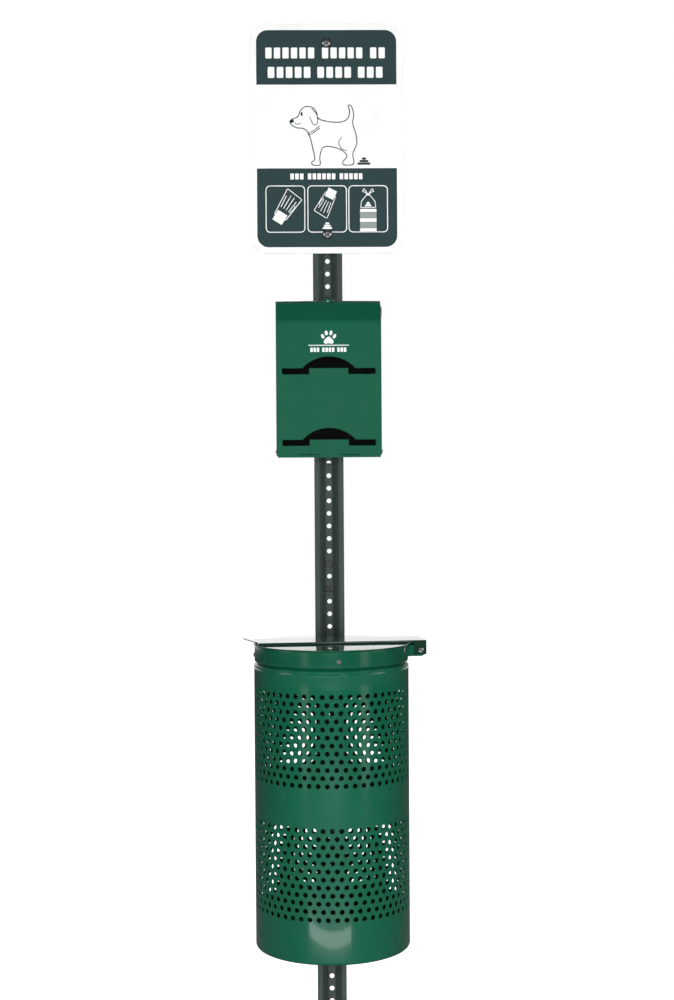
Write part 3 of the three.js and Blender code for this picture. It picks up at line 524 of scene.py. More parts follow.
def screen_ink(name, colour, roughness=0.42):
    finish = Finish(name, roughness, coat=0.05, coat_roughness=0.2)
    finish.shader.inputs["Specular IOR Level"].default_value = 0.3
    cast = finish.ramp(finish.noise(14, 5), [
        (0.3, lighter(colour, 0.95)),
        (0.7, lighter(colour, 1.04)),
    ])
    mesh_marks = finish.ramp(finish.noise(3000, 1), [
        (0.3, (0.95, 0.95, 0.95, 1)),
        (0.7, (1, 1, 1, 1)),
    ])
    finish.colour(finish.blend(1.0, cast, mesh_marks, "MULTIPLY"))
    finish.gloss(finish.noise(50, 4), roughness * 0.85, roughness * 1.2)
    finish.relief(finish.noise(1400, 2), 0.12, 0.02)
    return finish.material


def polythene(name, colour):
    finish = Finish(name, 0.42)
    creases = finish.noise(90, 6, stretch=(1, 1, 0.2))
    finish.shader.inputs["Specular IOR Level"].default_value = 0.12
    finish.colour(finish.ramp(creases, [(0.35, lighter(colour, 0.7)), (0.7, lighter(colour, 1.6))]))
    finish.gloss(finish.noise(60, 4), 0.34, 0.55)
    finish.relief(creases, 0.6, 0.4)
    return finish.material


def fibre_board(name, colour):
    finish = Finish(name, 0.85)
    fibres = finish.noise(500, 6, stretch=(1, 1, 0.15))
    finish.colour(finish.ramp(fibres, [(0.3, lighter(colour, 0.75)), (0.7, lighter(colour, 1.15))]))
    finish.gloss(finish.noise(200, 4), 0.75, 0.95)
    finish.relief(fibres, 0.5, 0.1)
    return finish.material


WHITE_INK = screen_ink("white sign ink", swatch(250, 251, 250))
PANEL_INK = screen_ink("slate sign ink", swatch(44, 64, 66))
LINE_INK = screen_ink("dark line ink", swatch(38, 44, 46), 0.45)
GREY_INK = screen_ink("grey sign ink", swatch(150, 158, 158), 0.45)
BAG_FILM = polythene("black bag film", swatch(5, 5, 6))
HEADER_CARD = fibre_board("header card", swatch(150, 118, 84))

# %% [markdown]
# The post. Its steel is rolled into a hat shape: a narrow web at the back, two
# slanted walls, and a flat flange on each side. A row of punched holes runs up the
# web. Cutting 94 holes with booleans would be slow and leave long thin triangles,
# so the web is laid cell by cell: each cell is a rectangle round one hole, filled
# with four faces.

# %% Sizes of the channel
POST_STEEL = 2.4
POST_WEB_HALF = 7.8
POST_WALL_RUN = 12.2
POST_BEND = 3.0
HOLE_PITCH = 25.4
HOLE_RADIUS = 4.75
HOLE_POINTS = 24
CELL_HALF = 5.6

lower_low, lower_high = part_box("lower_post")
POST_HALF = lower_high.x
FLANGE_LINE = lower_low.y + POST_STEEL / 2
POST_LENGTH = lower_high.z - lower_low.z
print("post, mm:", round(2 * POST_HALF, 1), "wide,", round(POST_LENGTH, 1), "long")

# %% [markdown]
# Both lengths of the post are the same strip, so one function lays either. Half the
# section is drawn and mirrored, the walls follow it level by level, and the web gets
# its punched cells. The end cells are left plain: the first hole is a pitch in.

# %% Lay the post cell by cell


def channel_side():
    """Half the section, from the web's front face round the flange to its back."""
    line = round_corners([
        (CELL_HALF, 0),
        (POST_WEB_HALF, 0),
        (POST_WEB_HALF + POST_WALL_RUN, FLANGE_LINE),
        (POST_HALF, FLANGE_LINE),
    ], [0, POST_BEND, POST_BEND, 0])
    return step_off(line, -POST_STEEL / 2) + step_off(line, POST_STEEL / 2)[::-1]


def lay_web_cell(welder, y, low, high, hole_z):
    """Four faces of the web round one hole; returns the hole's ring of points."""
    corner_at = [(CELL_HALF, high), (-CELL_HALF, high), (-CELL_HALF, low), (CELL_HALF, low)]
    corners = [welder.point(x, y, z) for x, z in corner_at]
    ring = []
    for i in range(HOLE_POINTS):
        angle = 2 * pi * i / HOLE_POINTS
        ring.append(welder.point(HOLE_RADIUS * cos(angle), y, hole_z + HOLE_RADIUS * sin(angle)))
    quarter = HOLE_POINTS // 4
    for side in range(4):
        start = quarter // 2 + side * quarter
        edge = [ring[(start + k) % HOLE_POINTS] for k in range(quarter + 1)]
        welder.face([corners[side], corners[(side + 1) % 4]] + edge[::-1])
    return ring


def channel_post(name, low_z, y_shift):
    welder = Welder()
    right = channel_side()
    left = [(-x, y) for x, y in right]
    count = round(POST_LENGTH / HOLE_PITCH)
    levels = [0] + [(i + 0.5) * HOLE_PITCH for i in range(count)] + [POST_LENGTH]
    for cell, (low, high) in enumerate(zip(levels, levels[1:])):
        for chain in (right, left):
            for (x0, y0), (x1, y1) in zip(chain, chain[1:]):
                wall = [(x0, y0, low), (x1, y1, low), (x1, y1, high), (x0, y0, high)]
                welder.face([welder.point(*p) for p in wall])
        if 0 < cell < count:
            front, back = (
                lay_web_cell(welder, y, low, high, cell * HOLE_PITCH)
                for y in (-POST_STEEL / 2, POST_STEEL / 2)
            )
            for i in range(HOLE_POINTS):
                welder.face([front[i - 1], front[i], back[i], back[i - 1]])
        else:
            for y in (-POST_STEEL / 2, POST_STEEL / 2):
                plain = [(-CELL_HALF, low), (CELL_HALF, low), (CELL_HALF, high), (-CELL_HALF, high)]
                welder.face([welder.point(x, y, z) for x, z in plain])
    for z in (levels[0], levels[-1]):
        welder.face([welder.point(x, y, z) for x, y in right + left[::-1]])
    raised = [p + Vector((0, y_shift, low_z)) for p in welder.points]
    post = raw_piece(name, raised, welder.faces)
    return ease_edges(post, 0.45, from_angle=60)


upper_low, upper_high = part_box("upper_post")
post_low = channel_post("post_lower_channel", lower_low.z, 0)
fit(post_low, POST_ENAMEL, "root", "post_paint", "lower_post")
post_high = channel_post("post_upper_channel", upper_low.z, upper_high.y - lower_high.y)
fit(post_high, POST_ENAMEL, "root", "post_paint", "upper_post")
print("faces in one post:", len(post_low.data.polygons))

# %% [markdown]
# Bolts, nuts and washers. A hex head is a six-sided bar whose corners are turned
# off on a lathe, so it is made just so: a prism kept only where a chamfered disc
# overlaps it. The thread is a stack of small ridges, which is what the eye sees of
# it at this size.

# %% Threaded fasteners
THREAD_PITCH = 1.27
THREAD_DEPTH = 0.55
BOLT_RADIUS, BOLT_BORE = 3.95, 4.35
HEX_HEAD = 4.9
ROUND_HEAD = 4.1


def threaded_profile(start, end, radius):
    """Closed profile of a ridged rod between two heights, with a chamfered tip."""
    ridges = int((end - start - radius * 0.2) / THREAD_PITCH)
    outer = [(radius, start)]
    for i in range(ridges):
        base = start + i * THREAD_PITCH
        outer.append((radius, base + 0.2 * THREAD_PITCH))
        outer.append((radius - THREAD_DEPTH, base + 0.6 * THREAD_PITCH))
    tip = [(radius, end - THREAD_DEPTH), (radius - THREAD_DEPTH, end), (0, end), (0, start)]
    return outer + tip


def hexagon(flats, middle=(0, 0)):
    corner = flats / sqrt(3)
    turns = [i * pi / 3 for i in range(6)]
    return [(middle[0] + corner * cos(a), middle[1] + corner * sin(a)) for a in turns]


def chamfered_hex(name, x, z, flats, low_y, high_y, both_ends=False):
    """Hex along Y whose corners are turned off at low_y, and at high_y for a nut."""
    corner = flats / sqrt(3)
    height = high_y - low_y
    drop = (corner - flats / 2) * tan(radians(30)) + 0.25
    near = [(0, 0), (flats / 2 - 0.3, 0), (corner + 0.1, drop)]
    far = [(corner + 0.1, height - drop), (flats / 2 - 0.3, height), (0, height)]
    plain = [(corner + 0.1, height), (0, height)]
    body = prism(name, hexagon(flats, (x, z)), low_y, high_y, "y")
    disc = turned("disc", near + (far if both_ends else plain), (x, low_y, z), (0, 1, 0))
    return carve(body, [disc], "INTERSECT")


def bolt(node, round_head=False):
    low, high = part_box(node)
    x, z = part_middle(node).x, part_middle(node).z
    if round_head:
        radius = (high.x - low.x) / 2
        profile = [(r, -h) for r, h in dome(radius, ROUND_HEAD - 1)] + [(0, 1), (radius, 1)]
        head = turned(node + "_forged", profile, (x, low.y + ROUND_HEAD - 1, z), (0, 1, 0))
        shank_start = low.y + ROUND_HEAD - 0.5
    else:
        flats = min(high.z - low.z, high.x - low.x)
        head = chamfered_hex(node + "_forged", x, z, flats, low.y, low.y + HEX_HEAD)
        shank_start = low.y + HEX_HEAD - 0.5
    shank = turned("shank", threaded_profile(0, high.y - shank_start, BOLT_RADIUS),
                   (x, shank_start, z), (0, 1, 0), 24)
    carve(head, [shank], "UNION")
    shade(head.data, 30)
    return fit(head, ZINC, "root", "zinc_steel", node)


def nut(node):
    low, high = part_box(node)
    x, z = part_middle(node).x, part_middle(node).z
    flats = min(high.z - low.z, high.x - low.x)
    piece = chamfered_hex(node + "_cut", x, z, flats, low.y, high.y, both_ends=True)
    carve(piece, [drill(BOLT_BORE, 13, (x, low.y - 1, z))])
    shade(piece.data, 30)
    return fit(piece, ZINC, "root", "zinc_steel", node)


def washer(node, finish):
    low, high = part_box(node)
    x, z = part_middle(node).x, part_middle(node).z
    radius = (high.x - low.x) / 2
    depth = high.y - low.y
    section = [(BOLT_BORE, 0), (radius, 0), (radius, depth), (BOLT_BORE, depth)]
    rim = round_corners(section, 0.45, True, 3)
    piece = turned(node + "_stamped", rim, (x, low.y, z), (0, 1, 0))
    return fit(piece, finish, "root", "zinc_steel", node)


for place in ("upper_splice", "lower_splice", "dispenser_top", "dispenser_bottom",
              "bin_upper", "bin_lower"):
    bolt(place + "_bolt")
    nut(place + "_nut")
for place in ("sign_top", "sign_bottom"):
    bolt(place + "_bolt", round_head=True)
    nut(place + "_nut")
for place, finish in (("sign_top", DARK_WASHER), ("sign_bottom", DARK_WASHER),
                      ("bin_upper", ZINC), ("bin_lower", ZINC)):
    washer(place + "_washer", finish)

# %% [markdown]
# The sign is a flat aluminium plate with round corners. Its art is screen printed,
# so it is built as the printer lays it: a white plate, then thin films of ink, each
# a tenth of a millimetre proud. A filled 2D curve is the quickest way to a film
# with clean edges, because a shape drawn inside another becomes a window in it.

# %% Helpers for printed films
FILM = 0.12


def round_rectangle(x0, x1, z0, z1, radius, steps=8):
    radii = radius if isinstance(radius, (list, tuple)) else [radius] * 4
    return round_corners([(x0, z0), (x1, z0), (x1, z1), (x0, z1)], list(radii), True, steps)


def film(name, shapes, front_y, ink, body, slot, depth=FILM):
    """Filled shapes in the XZ plane, from front_y forward by depth."""
    curve = bpy.data.curves.new(name, "CURVE")
    curve.dimensions = "2D"
    curve.fill_mode = "BOTH"
    curve.extrude = depth / 2 * MM
    for shape in shapes:
        spline = curve.splines.new("POLY")
        spline.points.add(len(shape) - 1)
        for point, (x, z) in zip(spline.points, shape):
            point.co = (x * MM, z * MM, 0, 1)
        spline.use_cyclic_u = True
    drawn = bpy.data.objects.new(name + "_drawn", curve)
    bpy.context.scene.collection.objects.link(drawn)
    graph = bpy.context.evaluated_depsgraph_get()
    mesh = bpy.data.meshes.new_from_object(drawn.evaluated_get(graph))
    bpy.data.objects.remove(drawn)
    stand_up = Matrix.Rotation(pi / 2, 4, "X")
    mesh.transform(Matrix.Translation((0, (front_y - depth / 2) * MM, 0)) @ stand_up)
    work = bmesh.new()
    work.from_mesh(mesh)
    bmesh.ops.remove_doubles(work, verts=work.verts, dist=1e-6)
    bmesh.ops.recalc_face_normals(work, faces=work.faces)
    work.to_mesh(mesh)
    work.free()
    piece = bpy.data.objects.new(name, mesh)
    bpy.context.scene.collection.objects.link(piece)
    return fit(piece, ink, body, slot)


def ellipse(x, z, half_width, half_height, lean=0):
    return [
        (x + half_width * cos(a) * cos(lean) - half_height * sin(a) * sin(lean),
         z + half_width * cos(a) * sin(lean) + half_height * sin(a) * cos(lean))
        for a in (2 * pi * i / 28 for i in range(28))
    ]


def moved(shape, x, z):
    return [(a + x, b + z) for a, b in shape]


def smooth_line(points, closed, steps=6):
    """A soft line through a few points, as a draughtsman's curve gives."""
    count = len(points)
    spans = count if closed else count - 1
    line = []
    for i in range(spans):
        ring = [points[(i + k) % count] if closed else points[min(max(i + k, 0), count - 1)]
                for k in (-1, 0, 1, 2)]
        before, here, there, after = (Vector(p) for p in ring)
        for k in range(steps):
            t = k / steps
            bend = (2 * before - 5 * here + 4 * there - after) * t * t
            twist = (3 * here - before - 3 * there + after) * t ** 3
            line.append(tuple((2 * here + (there - before) * t + bend + twist) / 2))
    return line if closed else line + [tuple(points[-1])]


def pen_stroke(points, width, closed=False):
    """Outlines of a line of ink; a closed line needs an outer and an inner one."""
    line = smooth_line(points, closed)
    if not closed:
        return [step_off(line, width / 2) + step_off(line, -width / 2)[::-1]]
    wrapped = line[-2:] + line + line[:2]
    return [step_off(wrapped, side * width / 2)[2:-2] for side in (1, -1)]


# %% [markdown]
# The plate itself is an outline with two bolt holes, eased along its cut edge.

# %% Sign plate
sign_low, sign_high = part_box("sign_panel")
SIGN_MIDDLE = (sign_low.z + sign_high.z) / 2
SIGN_HALF_W = sign_high.x
SIGN_HALF_H = (sign_high.z - sign_low.z) / 2
SIGN_CORNER = 35
SIGN_BORDER = 12.5
SIGN_BORE = 4.3
sign_face = sign_low.y

sign_outline = round_rectangle(-SIGN_HALF_W, SIGN_HALF_W, sign_low.z, sign_high.z, SIGN_CORNER, 14)
plate = prism("sign_plate", sign_outline, sign_low.y, sign_high.y, "y")
bolt_spots = [part_middle("sign_top_bolt").z, part_middle("sign_bottom_bolt").z]
carve(plate, [drill(SIGN_BORE, 7, (0, sign_low.y - 2, z)) for z in bolt_spots])
ease_edges(plate, 0.35)
fit(plate, WHITE_INK, "root", "sign_face", "sign_panel")
plate.data.materials.append(BARE_EDGE)
for face in plate.data.polygons:
    face.material_index = 0 if abs(face.normal.y) > 0.9 else 1
print("sign, mm:", round(2 * SIGN_HALF_W, 1), "x", round(2 * SIGN_HALF_H, 1))

# %% [markdown]
# Two slate panels leave a white border and a white band for the picture. Each has
# round corners on its outer side only. The wording is not copied: rows of plain
# rounded blocks keep its rhythm and weight without a single letter.

# %% Slate panels and rows of plain blocks
PANEL_HALF = SIGN_HALF_W - SIGN_BORDER
PANEL_TOP = SIGN_HALF_H - SIGN_BORDER
HEAD_PANEL_LOW = 107.7
FOOT_PANEL_HIGH = -58.9
PANEL_CORNER = 23
BOLT_CLEAR, CLEAR_SIDES = 4.5, 32
BOLT_RISE = bolt_spots[0] - SIGN_MIDDLE


def print_sign(name, shapes, ink, height=0, depth=FILM):
    """Ink on the sign, drawn from its middle; height counts the films below it."""
    film(name, [moved(s, 0, SIGN_MIDDLE) for s in shapes], sign_face - height * FILM, ink,
         "root", "sign_face", depth)


def print_white(name, shapes, depth=FILM):
    print_sign(name, shapes, WHITE_INK, 1, depth)


circle = arc((0, 0), BOLT_CLEAR, 0, 2 * pi * (CLEAR_SIDES - 1) / CLEAR_SIDES, CLEAR_SIDES - 1)
head_panel = round_rectangle(-PANEL_HALF, PANEL_HALF, HEAD_PANEL_LOW, PANEL_TOP,
                             [0, 0, PANEL_CORNER, PANEL_CORNER])
foot_panel = round_rectangle(-PANEL_HALF, PANEL_HALF, -PANEL_TOP, FOOT_PANEL_HIGH,
                             [PANEL_CORNER, PANEL_CORNER, 0, 0])
panels = [head_panel, foot_panel, moved(circle, 0, BOLT_RISE), moved(circle, 0, -BOLT_RISE)]
print_sign("sign_slate_panels", panels, PANEL_INK)

BLOCK_WIDTH, BLOCK_ROUNDING = 0.74, 0.12  # shares of the pitch from block to block


def block_row(low_z, height, words, pitch, gap):
    """Words of plain blocks, centred: each number is how many blocks a word has."""
    width = sum(words) * pitch + (len(words) - 1) * gap
    shapes = []
    x = -width / 2
    for count in words:
        for _ in range(count):
            right, rounding = x + BLOCK_WIDTH * pitch, BLOCK_ROUNDING * pitch
            shapes.append(round_rectangle(x, right, low_z, low_z + height, rounding, 3))
            x += pitch
        x += gap
    return shapes


rows = block_row(159.7, 21.8, (6, 5, 2), 17, 11)
rows += block_row(121, 22, (5, 4, 3), 18, 9)
rows += block_row(-81, 12, (3, 6, 5), 9.6, 6)
print_white("sign_white_blocks", rows)
print("blocks printed:", len(rows))

# %% [markdown]
# Three framed pictures tell the steps: take the bag, pick up, drop it in the bin.
# They are drawn fresh from simple shapes, since a sign like this needs only signs
# that anyone can read.

# %% Three picture frames
FRAME_LOW, FRAME_HIGH = -187, -93
FRAME_HALF = 39.5
FRAME_LINE = 1.8
FRAME_MIDDLES = (-83.5, 0, 82)


def turned_about(shape, middle, turn):
    """A shape drawn round its own zero, turned and set down at middle."""
    return [(middle[0] + a * cos(turn) - b * sin(turn), middle[1] + a * sin(turn) + b * cos(turn))
            for a, b in shape]


def ring_stroke(points, radius, width):
    """A closed ink line with firm corners: an outer and an inner outline."""
    line = round_corners(points, radius, True, 4)
    wrapped = line[-1:] + line + line[:1]
    return [step_off(wrapped, side * width / 2)[1:-1] for side in (1, -1)]


def hand_in_bag(middle, turn, size=1.0):
    """A bag drawn over a hand: bag outline, four fingers, a thumb and a white cuff."""
    shapes = ring_stroke([(-13, -22), (13, -22), (19, 30), (-17, 34)], 2, 1.5)
    for x, reach, lean in ((-9, 21, 0.12), (-3, 26, 0.03), (3, 25, -0.05), (9, 20, -0.14)):
        finger = [(x, -4), (x - lean * 10, 8), (x - lean * reach, reach)]
        shapes += pen_stroke(finger, 1.5)
    shapes += pen_stroke([(11, -6), (15, 4), (14, 12)], 1.5)
    shapes.append(round_rectangle(-11, 11, -34, -12, 0.8, 2))
    sized = [[(a * size, b * size) for a, b in shape] for shape in shapes]
    set_down = [turned_about(shape, middle, turn) for shape in sized]
    return set_down[:-1], set_down[-1]


def droppings(x, z, size):
    """Three soft rolls, each narrower than the one below."""
    rolls = [round_rectangle(-w, w, h, h + 0.2, 0.09, 4)
             for w, h in ((0.5, 0), (0.36, 0.24), (0.2, 0.48))]
    return [[(x + a * size, z + b * size) for a, b in roll] for roll in rolls]


def tied_bag(x, z, size):
    """A filled bag drawn in outline, with a knot and two ears above its neck."""
    outlines = [
        [(-0.46, 0), (0.46, 0), (0.4, 0.38), (0.1, 0.74), (-0.1, 0.74), (-0.4, 0.38)],
        [(0.04, 0.86), (0.34, 0.96), (0.26, 1.14)],
        [(-0.04, 0.86), (-0.26, 1.14), (-0.34, 0.96)],
    ]
    knot_half = 0.13 * size
    knot = round_rectangle(x - knot_half, x + knot_half, z + 0.77 * size, z + 0.85 * size, 0.6, 2)
    shapes = [knot]
    for outline in outlines:
        shapes += ring_stroke([(x + a * size, z + b * size) for a, b in outline], 0.8, 1.4)
    return shapes


frames = []
for middle in FRAME_MIDDLES:
    for inset in (0, FRAME_LINE):
        frames.append(round_rectangle(middle - FRAME_HALF + inset, middle + FRAME_HALF - inset,
                                      FRAME_LOW + inset, FRAME_HIGH - inset, 9 - inset, 6))
first, second, third = FRAME_MIDDLES
lines_up, cuff_up = hand_in_bag((first + 1, -137), radians(-32))
lines_down, cuff_down = hand_in_bag((second - 1, -127), radians(154), 0.84)
CAN_HALF = 16.5
can = round_rectangle(third - CAN_HALF, third + CAN_HALF, FRAME_LOW + 1, -140, 2, 3)

print_white("sign_picture_frames", frames)
for label, lines in (("first", lines_up), ("second", lines_down)):
    print_white(f"sign_{label}_bag_outline", lines[:2])
    for i, finger in enumerate(lines[2:]):
        print_white(f"sign_{label}_finger_{i + 1}", [finger])
print_white("sign_cuffs", (cuff_up, cuff_down), 1.5 * FILM)
print_white("sign_small_pile", droppings(second, -180, 19))
print_white("sign_tied_bag", tied_bag(third, -137, 33))
print_white("sign_bag_filling", droppings(third, -135, 13))
print_white("sign_can", [can])
bands = [round_rectangle(third - CAN_HALF, third + CAN_HALF, z, z + 13, 0.6, 2)
         for z in (-159, -179)]
print_sign("sign_grey_bands", bands, GREY_INK, 2)

# %% [markdown]
# The dog is a line drawing of our own: one closed pen line round the body, and a
# few open strokes for the ear, the eye, the collar and the inner legs.

# %% Line drawing of a dog
DOG_OUTLINE = [
    (-72, 30), (-70, 38), (-58, 44), (-52, 56), (-42, 64), (-28, 62), (-20, 52), (-16, 40),
    (4, 34), (28, 33), (42, 40), (46, 54), (43, 66), (50, 64), (54, 48), (52, 30),
    (58, 10), (60, -10), (52, -30), (54, -46), (50, -52), (34, -52), (32, -46), (40, -34),
    (28, -22), (8, -16), (-8, -18), (-14, -36), (-14, -52), (-28, -52), (-30, -46), (-24, -40),
    (-30, -10), (-36, 10), (-46, 20), (-60, 22),
]
DOG_STROKES = [
    [(-30, 60), (-20, 48), (-18, 32), (-26, 28), (-34, 44)],
    [(-52, 46), (-50, 47), (-48, 46)],
    [(-36, 12), (-26, 16), (-14, 26)],
    [(-38, 8), (-28, 11), (-14, 21)],
    [(30, 4), (24, -8), (30, -20), (40, -24)],
    [(-64, 31), (-58, 29), (-52, 31)],
]
PILE_AT = (74, -52)
PILE_ROLLS = [round_rectangle(-w, w, h, h + 4.4, 2, 4) for w, h in ((13, 0), (9, 5), (4.5, 10))]
NOSE_AND_EYE = [ellipse(-70, 35, 4.6, 3.6, 0.3), ellipse(-50, 50, 2.2, 3.0)]

dog_ink = pen_stroke(DOG_OUTLINE, 2.0, closed=True)
for stroke in DOG_STROKES:
    dog_ink += pen_stroke(stroke, 1.6)
print_sign("sign_dog_body", dog_ink[:2], LINE_INK)
for i, stroke in enumerate(dog_ink[2:]):
    print_sign(f"sign_dog_stroke_{i + 1}", [stroke], LINE_INK, depth=1.6 * FILM)
print_sign("sign_dog_pile", [moved(roll, *PILE_AT) for roll in PILE_ROLLS], LINE_INK)
print_sign("sign_dog_nose_and_eye", NOSE_AND_EYE, LINE_INK, depth=2 * FILM)
print("dog drawn with", len(DOG_STROKES) + 1, "lines")

# %% [markdown]
# The dispenser's cover is one folded sheet: front, slope, top and two sides. It is
# made as a sheet worker would check it: a solid block with rounded bends, less a
# smaller block for the room inside, less the two bag slots, the drain slits and
# the holes for the rod and the lock.

# %% Cover block, outside and inside
COVER_SHEET = 1.6
COVER_BEND = 2.6
SLOPE_RISE, SLOPE_RUN = 38, 30
SLOPE_BEND = 16
SIDE_RAISE = 5
cover_low, cover_high = part_box("dispenser_cover")
COVER_HALF = cover_high.x


def cover_block(name, inset, open_by):
    """The folded box, inset all round and run on past its open back and bottom."""
    front = cover_low.y + inset
    top = cover_high.z - inset
    lean = atan2(SLOPE_RUN, SLOPE_RISE)
    bend_z = cover_high.z - SLOPE_RISE - inset * tan(lean / 2)
    slope_end = cover_low.y + SLOPE_RUN + inset * tan((pi / 2 - lean) / 2)
    rear = cover_high.y + open_by
    low = cover_low.z - open_by
    side = round_corners([
        (front, low), (front, bend_z), (slope_end, top), (rear, top), (rear, low),
    ], [0, SLOPE_BEND - inset, COVER_BEND - inset * 0.6, 0, 0], True, 5)
    body = prism(name, side, -COVER_HALF + inset, COVER_HALF - inset, "x")
    work = bmesh.new()
    work.from_mesh(body.data)
    corner_edges = []
    for edge in work.edges:
        a, b = (v.co / MM for v in edge.verts)
        on_side = abs(a.x - b.x) < 0.01
        at_back = min(a.y, b.y) > rear - 0.01
        at_bottom = max(a.z, b.z) < low + 0.01
        if on_side and not at_back and not at_bottom:
            corner_edges.append(edge)
    bmesh.ops.bevel(work, geom=corner_edges, offset=(COVER_BEND - inset * 0.6) * MM, segments=5,
                    profile=0.5, affect="EDGES", clamp_overlap=True)
    work.to_mesh(body.data)
    work.free()
    return body


cover = cover_block("dispenser_cover_folded", 0, 0)
room = cover_block("room", COVER_SHEET, 3)
carve(cover, [room])
print("cover, mm:", [round(v, 1) for v in cover_high - cover_low])

# %% [markdown]
# Each slot is a wide slit with an arch above it for the fingers. A tongue between
# them is left standing, so that a bag is pulled over it and tears off clean.

# %% Slots, slits and holes in the cover
SLOT_HEIGHT, SLOT_WIDTH = 12, 183
TONGUE_WIDTH = 76.6
ARCH_WIDTH, ARCH_HEIGHT = 104, 23
LOWER_SLOT_RISE, SLOT_SPACING = 28.9, 139.8
DRAIN_WIDTH, DRAIN_HEIGHT, DRAIN_OFFSET, DRAIN_RISE = 40, 2, 41, 4.4
CORNER = 0.8
ROD_BORE, LOCK_BORE = 2.9, 9.8


def slot_outline(middle_z):
    side, tongue, arch_half = SLOT_WIDTH / 2, TONGUE_WIDTH / 2, ARCH_WIDTH / 2
    low, high = middle_z - SLOT_HEIGHT / 2, middle_z + SLOT_HEIGHT / 2
    radius = (arch_half ** 2 + ARCH_HEIGHT ** 2) / (2 * ARCH_HEIGHT)
    centre = high + ARCH_HEIGHT - radius
    start = atan2(high - centre, arch_half)
    foot = [(-side, low), (-tongue, low), (-tongue, high), (tongue, high), (tongue, low),
            (side, low), (side, high)]
    rounded = round_corners(foot, [0, CORNER, CORNER, CORNER, CORNER, 0, 0], steps=3)
    return rounded + arc((0, centre), radius, start, pi - start, 40) + [(-side, high)]


def rod_drill():
    """The hole for the hinge rod, drilled right through from one side to the other."""
    low, high = part_box("cover_hinge_rod")
    middle = part_middle("cover_hinge_rod")
    return drill(ROD_BORE, high.x - low.x + 20, (low.x - 10, middle.y, middle.z), (1, 0, 0))


slot_levels = [cover_low.z + LOWER_SLOT_RISE, cover_low.z + LOWER_SLOT_RISE + SLOT_SPACING]
cut_from, cut_to = cover_low.y - 1, cover_low.y + 4
cutters = [prism("slot", slot_outline(z), cut_from, cut_to, "y") for z in slot_levels]
drain_z = cover_low.z + DRAIN_RISE
for side in (-1, 1):
    x = side * DRAIN_OFFSET
    slit = round_rectangle(x - DRAIN_WIDTH / 2, x + DRAIN_WIDTH / 2,
                           drain_z, drain_z + DRAIN_HEIGHT, 0.95, 4)
    cutters.append(prism("slit", slit, cut_from, cut_to, "y"))
    inner = side * (COVER_HALF - COVER_BEND)
    outer = side * (COVER_HALF + 4)
    cutters.append(block("side raise", (min(inner, outer), cover_low.y - 2, cover_low.z - 2),
                         (max(inner, outer), cover_high.y + 2, cover_low.z + SIDE_RAISE)))
rod_middle = part_middle("cover_hinge_rod")
lock_middle = part_middle("lock_barrel")
lock_at = (lock_middle.y, lock_middle.z)
cutters.append(rod_drill())
cutters.append(drill(LOCK_BORE, 20, (COVER_HALF - 10, *lock_at), (1, 0, 0), 48))
carve(cover, cutters)
ease_edges(cover, 0.3, from_angle=60)
fit(cover, DISPENSER_GREEN, "cover", "dispenser_paint", "dispenser_cover")
print("cover faces:", len(cover.data.polygons))

# %% [markdown]
# A white mark is printed on the cover's front. A paw over a line says what the bags
# are for, and it belongs to nobody.

# %% Paw mark on the cover
MARK_RISE = 219.4
MARK_HALF = 40

mark_z = cover_low.z + MARK_RISE
mark = [round_rectangle(-MARK_HALF, MARK_HALF, mark_z - 0.8, mark_z + 0.8, 0.7, 2)]
pad = smooth_line([(0, 4), (7.5, 3.2), (9.5, 8), (5, 13.5), (0, 17), (-5, 13.5), (-9.5, 8),
                   (-7.5, 3.2)], True)
mark.append(moved(pad, 0, mark_z))
for x, z, lean in ((-11.5, 17.5, 0.5), (-4.6, 24, 0.15), (4.6, 24, -0.15), (11.5, 17.5, -0.5)):
    mark.append(ellipse(x, mark_z + z, 2.9, 4.6, lean))
mark += [moved(s, 0, mark_z) for s in block_row(-13, 8.5, (3, 4, 3), 6.4, 4)]
film("cover_paw_mark", mark, cover_low.y, WHITE_INK, "cover", "sign_face", depth=0.1)

# %% [markdown]
# The back plate carries everything: it is bolted to the post, its bottom edge is
# folded forward as a tray, two lugs hold the hinge rod, and a round ear stands
# proud of the top. Sheets that are one piece in the metal are joined as one here.

# %% Dispenser back plate
PLATE_SHEET = 2
EAR_RADIUS, EAR_RISE, EAR_HOLE = 11, 8.5, 3.4
LUG_RADIUS = 6
TRAY_GAP = 0.8
back_low, back_high = part_box("dispenser_back")
PLATE_HALF = back_high.x
plate_front = back_high.y - PLATE_SHEET
plate_top = back_high.z - EAR_RISE
ear_middle = back_high.z - EAR_RADIUS
ear_start = asin((plate_top - ear_middle) / EAR_RADIUS)
tray_half = COVER_HALF - COVER_SHEET - TRAY_GAP

plate_outline = [(-PLATE_HALF, back_low.z), (PLATE_HALF, back_low.z), (PLATE_HALF, plate_top)]
plate_outline += arc((0, ear_middle), EAR_RADIUS, ear_start, pi - ear_start, 16)
plate_outline.append((-PLATE_HALF, plate_top))
back = prism("dispenser_back_plate", plate_outline, plate_front, back_high.y, "y")
tray = block("tray", (-tray_half, rod_middle.y, back_low.z),
             (tray_half, plate_front + 1, back_low.z + PLATE_SHEET))
lugs = []
for side in (-1, 1):
    lug = arc((rod_middle.y, rod_middle.z), LUG_RADIUS, 0, pi, 16)
    lug += [(rod_middle.y - LUG_RADIUS, back_low.z), (rod_middle.y + 2 * LUG_RADIUS, back_low.z)]
    outer, inner = side * tray_half, side * (tray_half - PLATE_SHEET)
    lugs.append(prism("lug", lug, min(outer, inner), max(outer, inner), "x"))
carve(back, [tray, *lugs], "UNION")
holes = [(0, ear_middle, EAR_HOLE)]
holes += [(0, part_middle(f"dispenser_{end}_bolt").z, BOLT_BORE) for end in ("top", "bottom")]
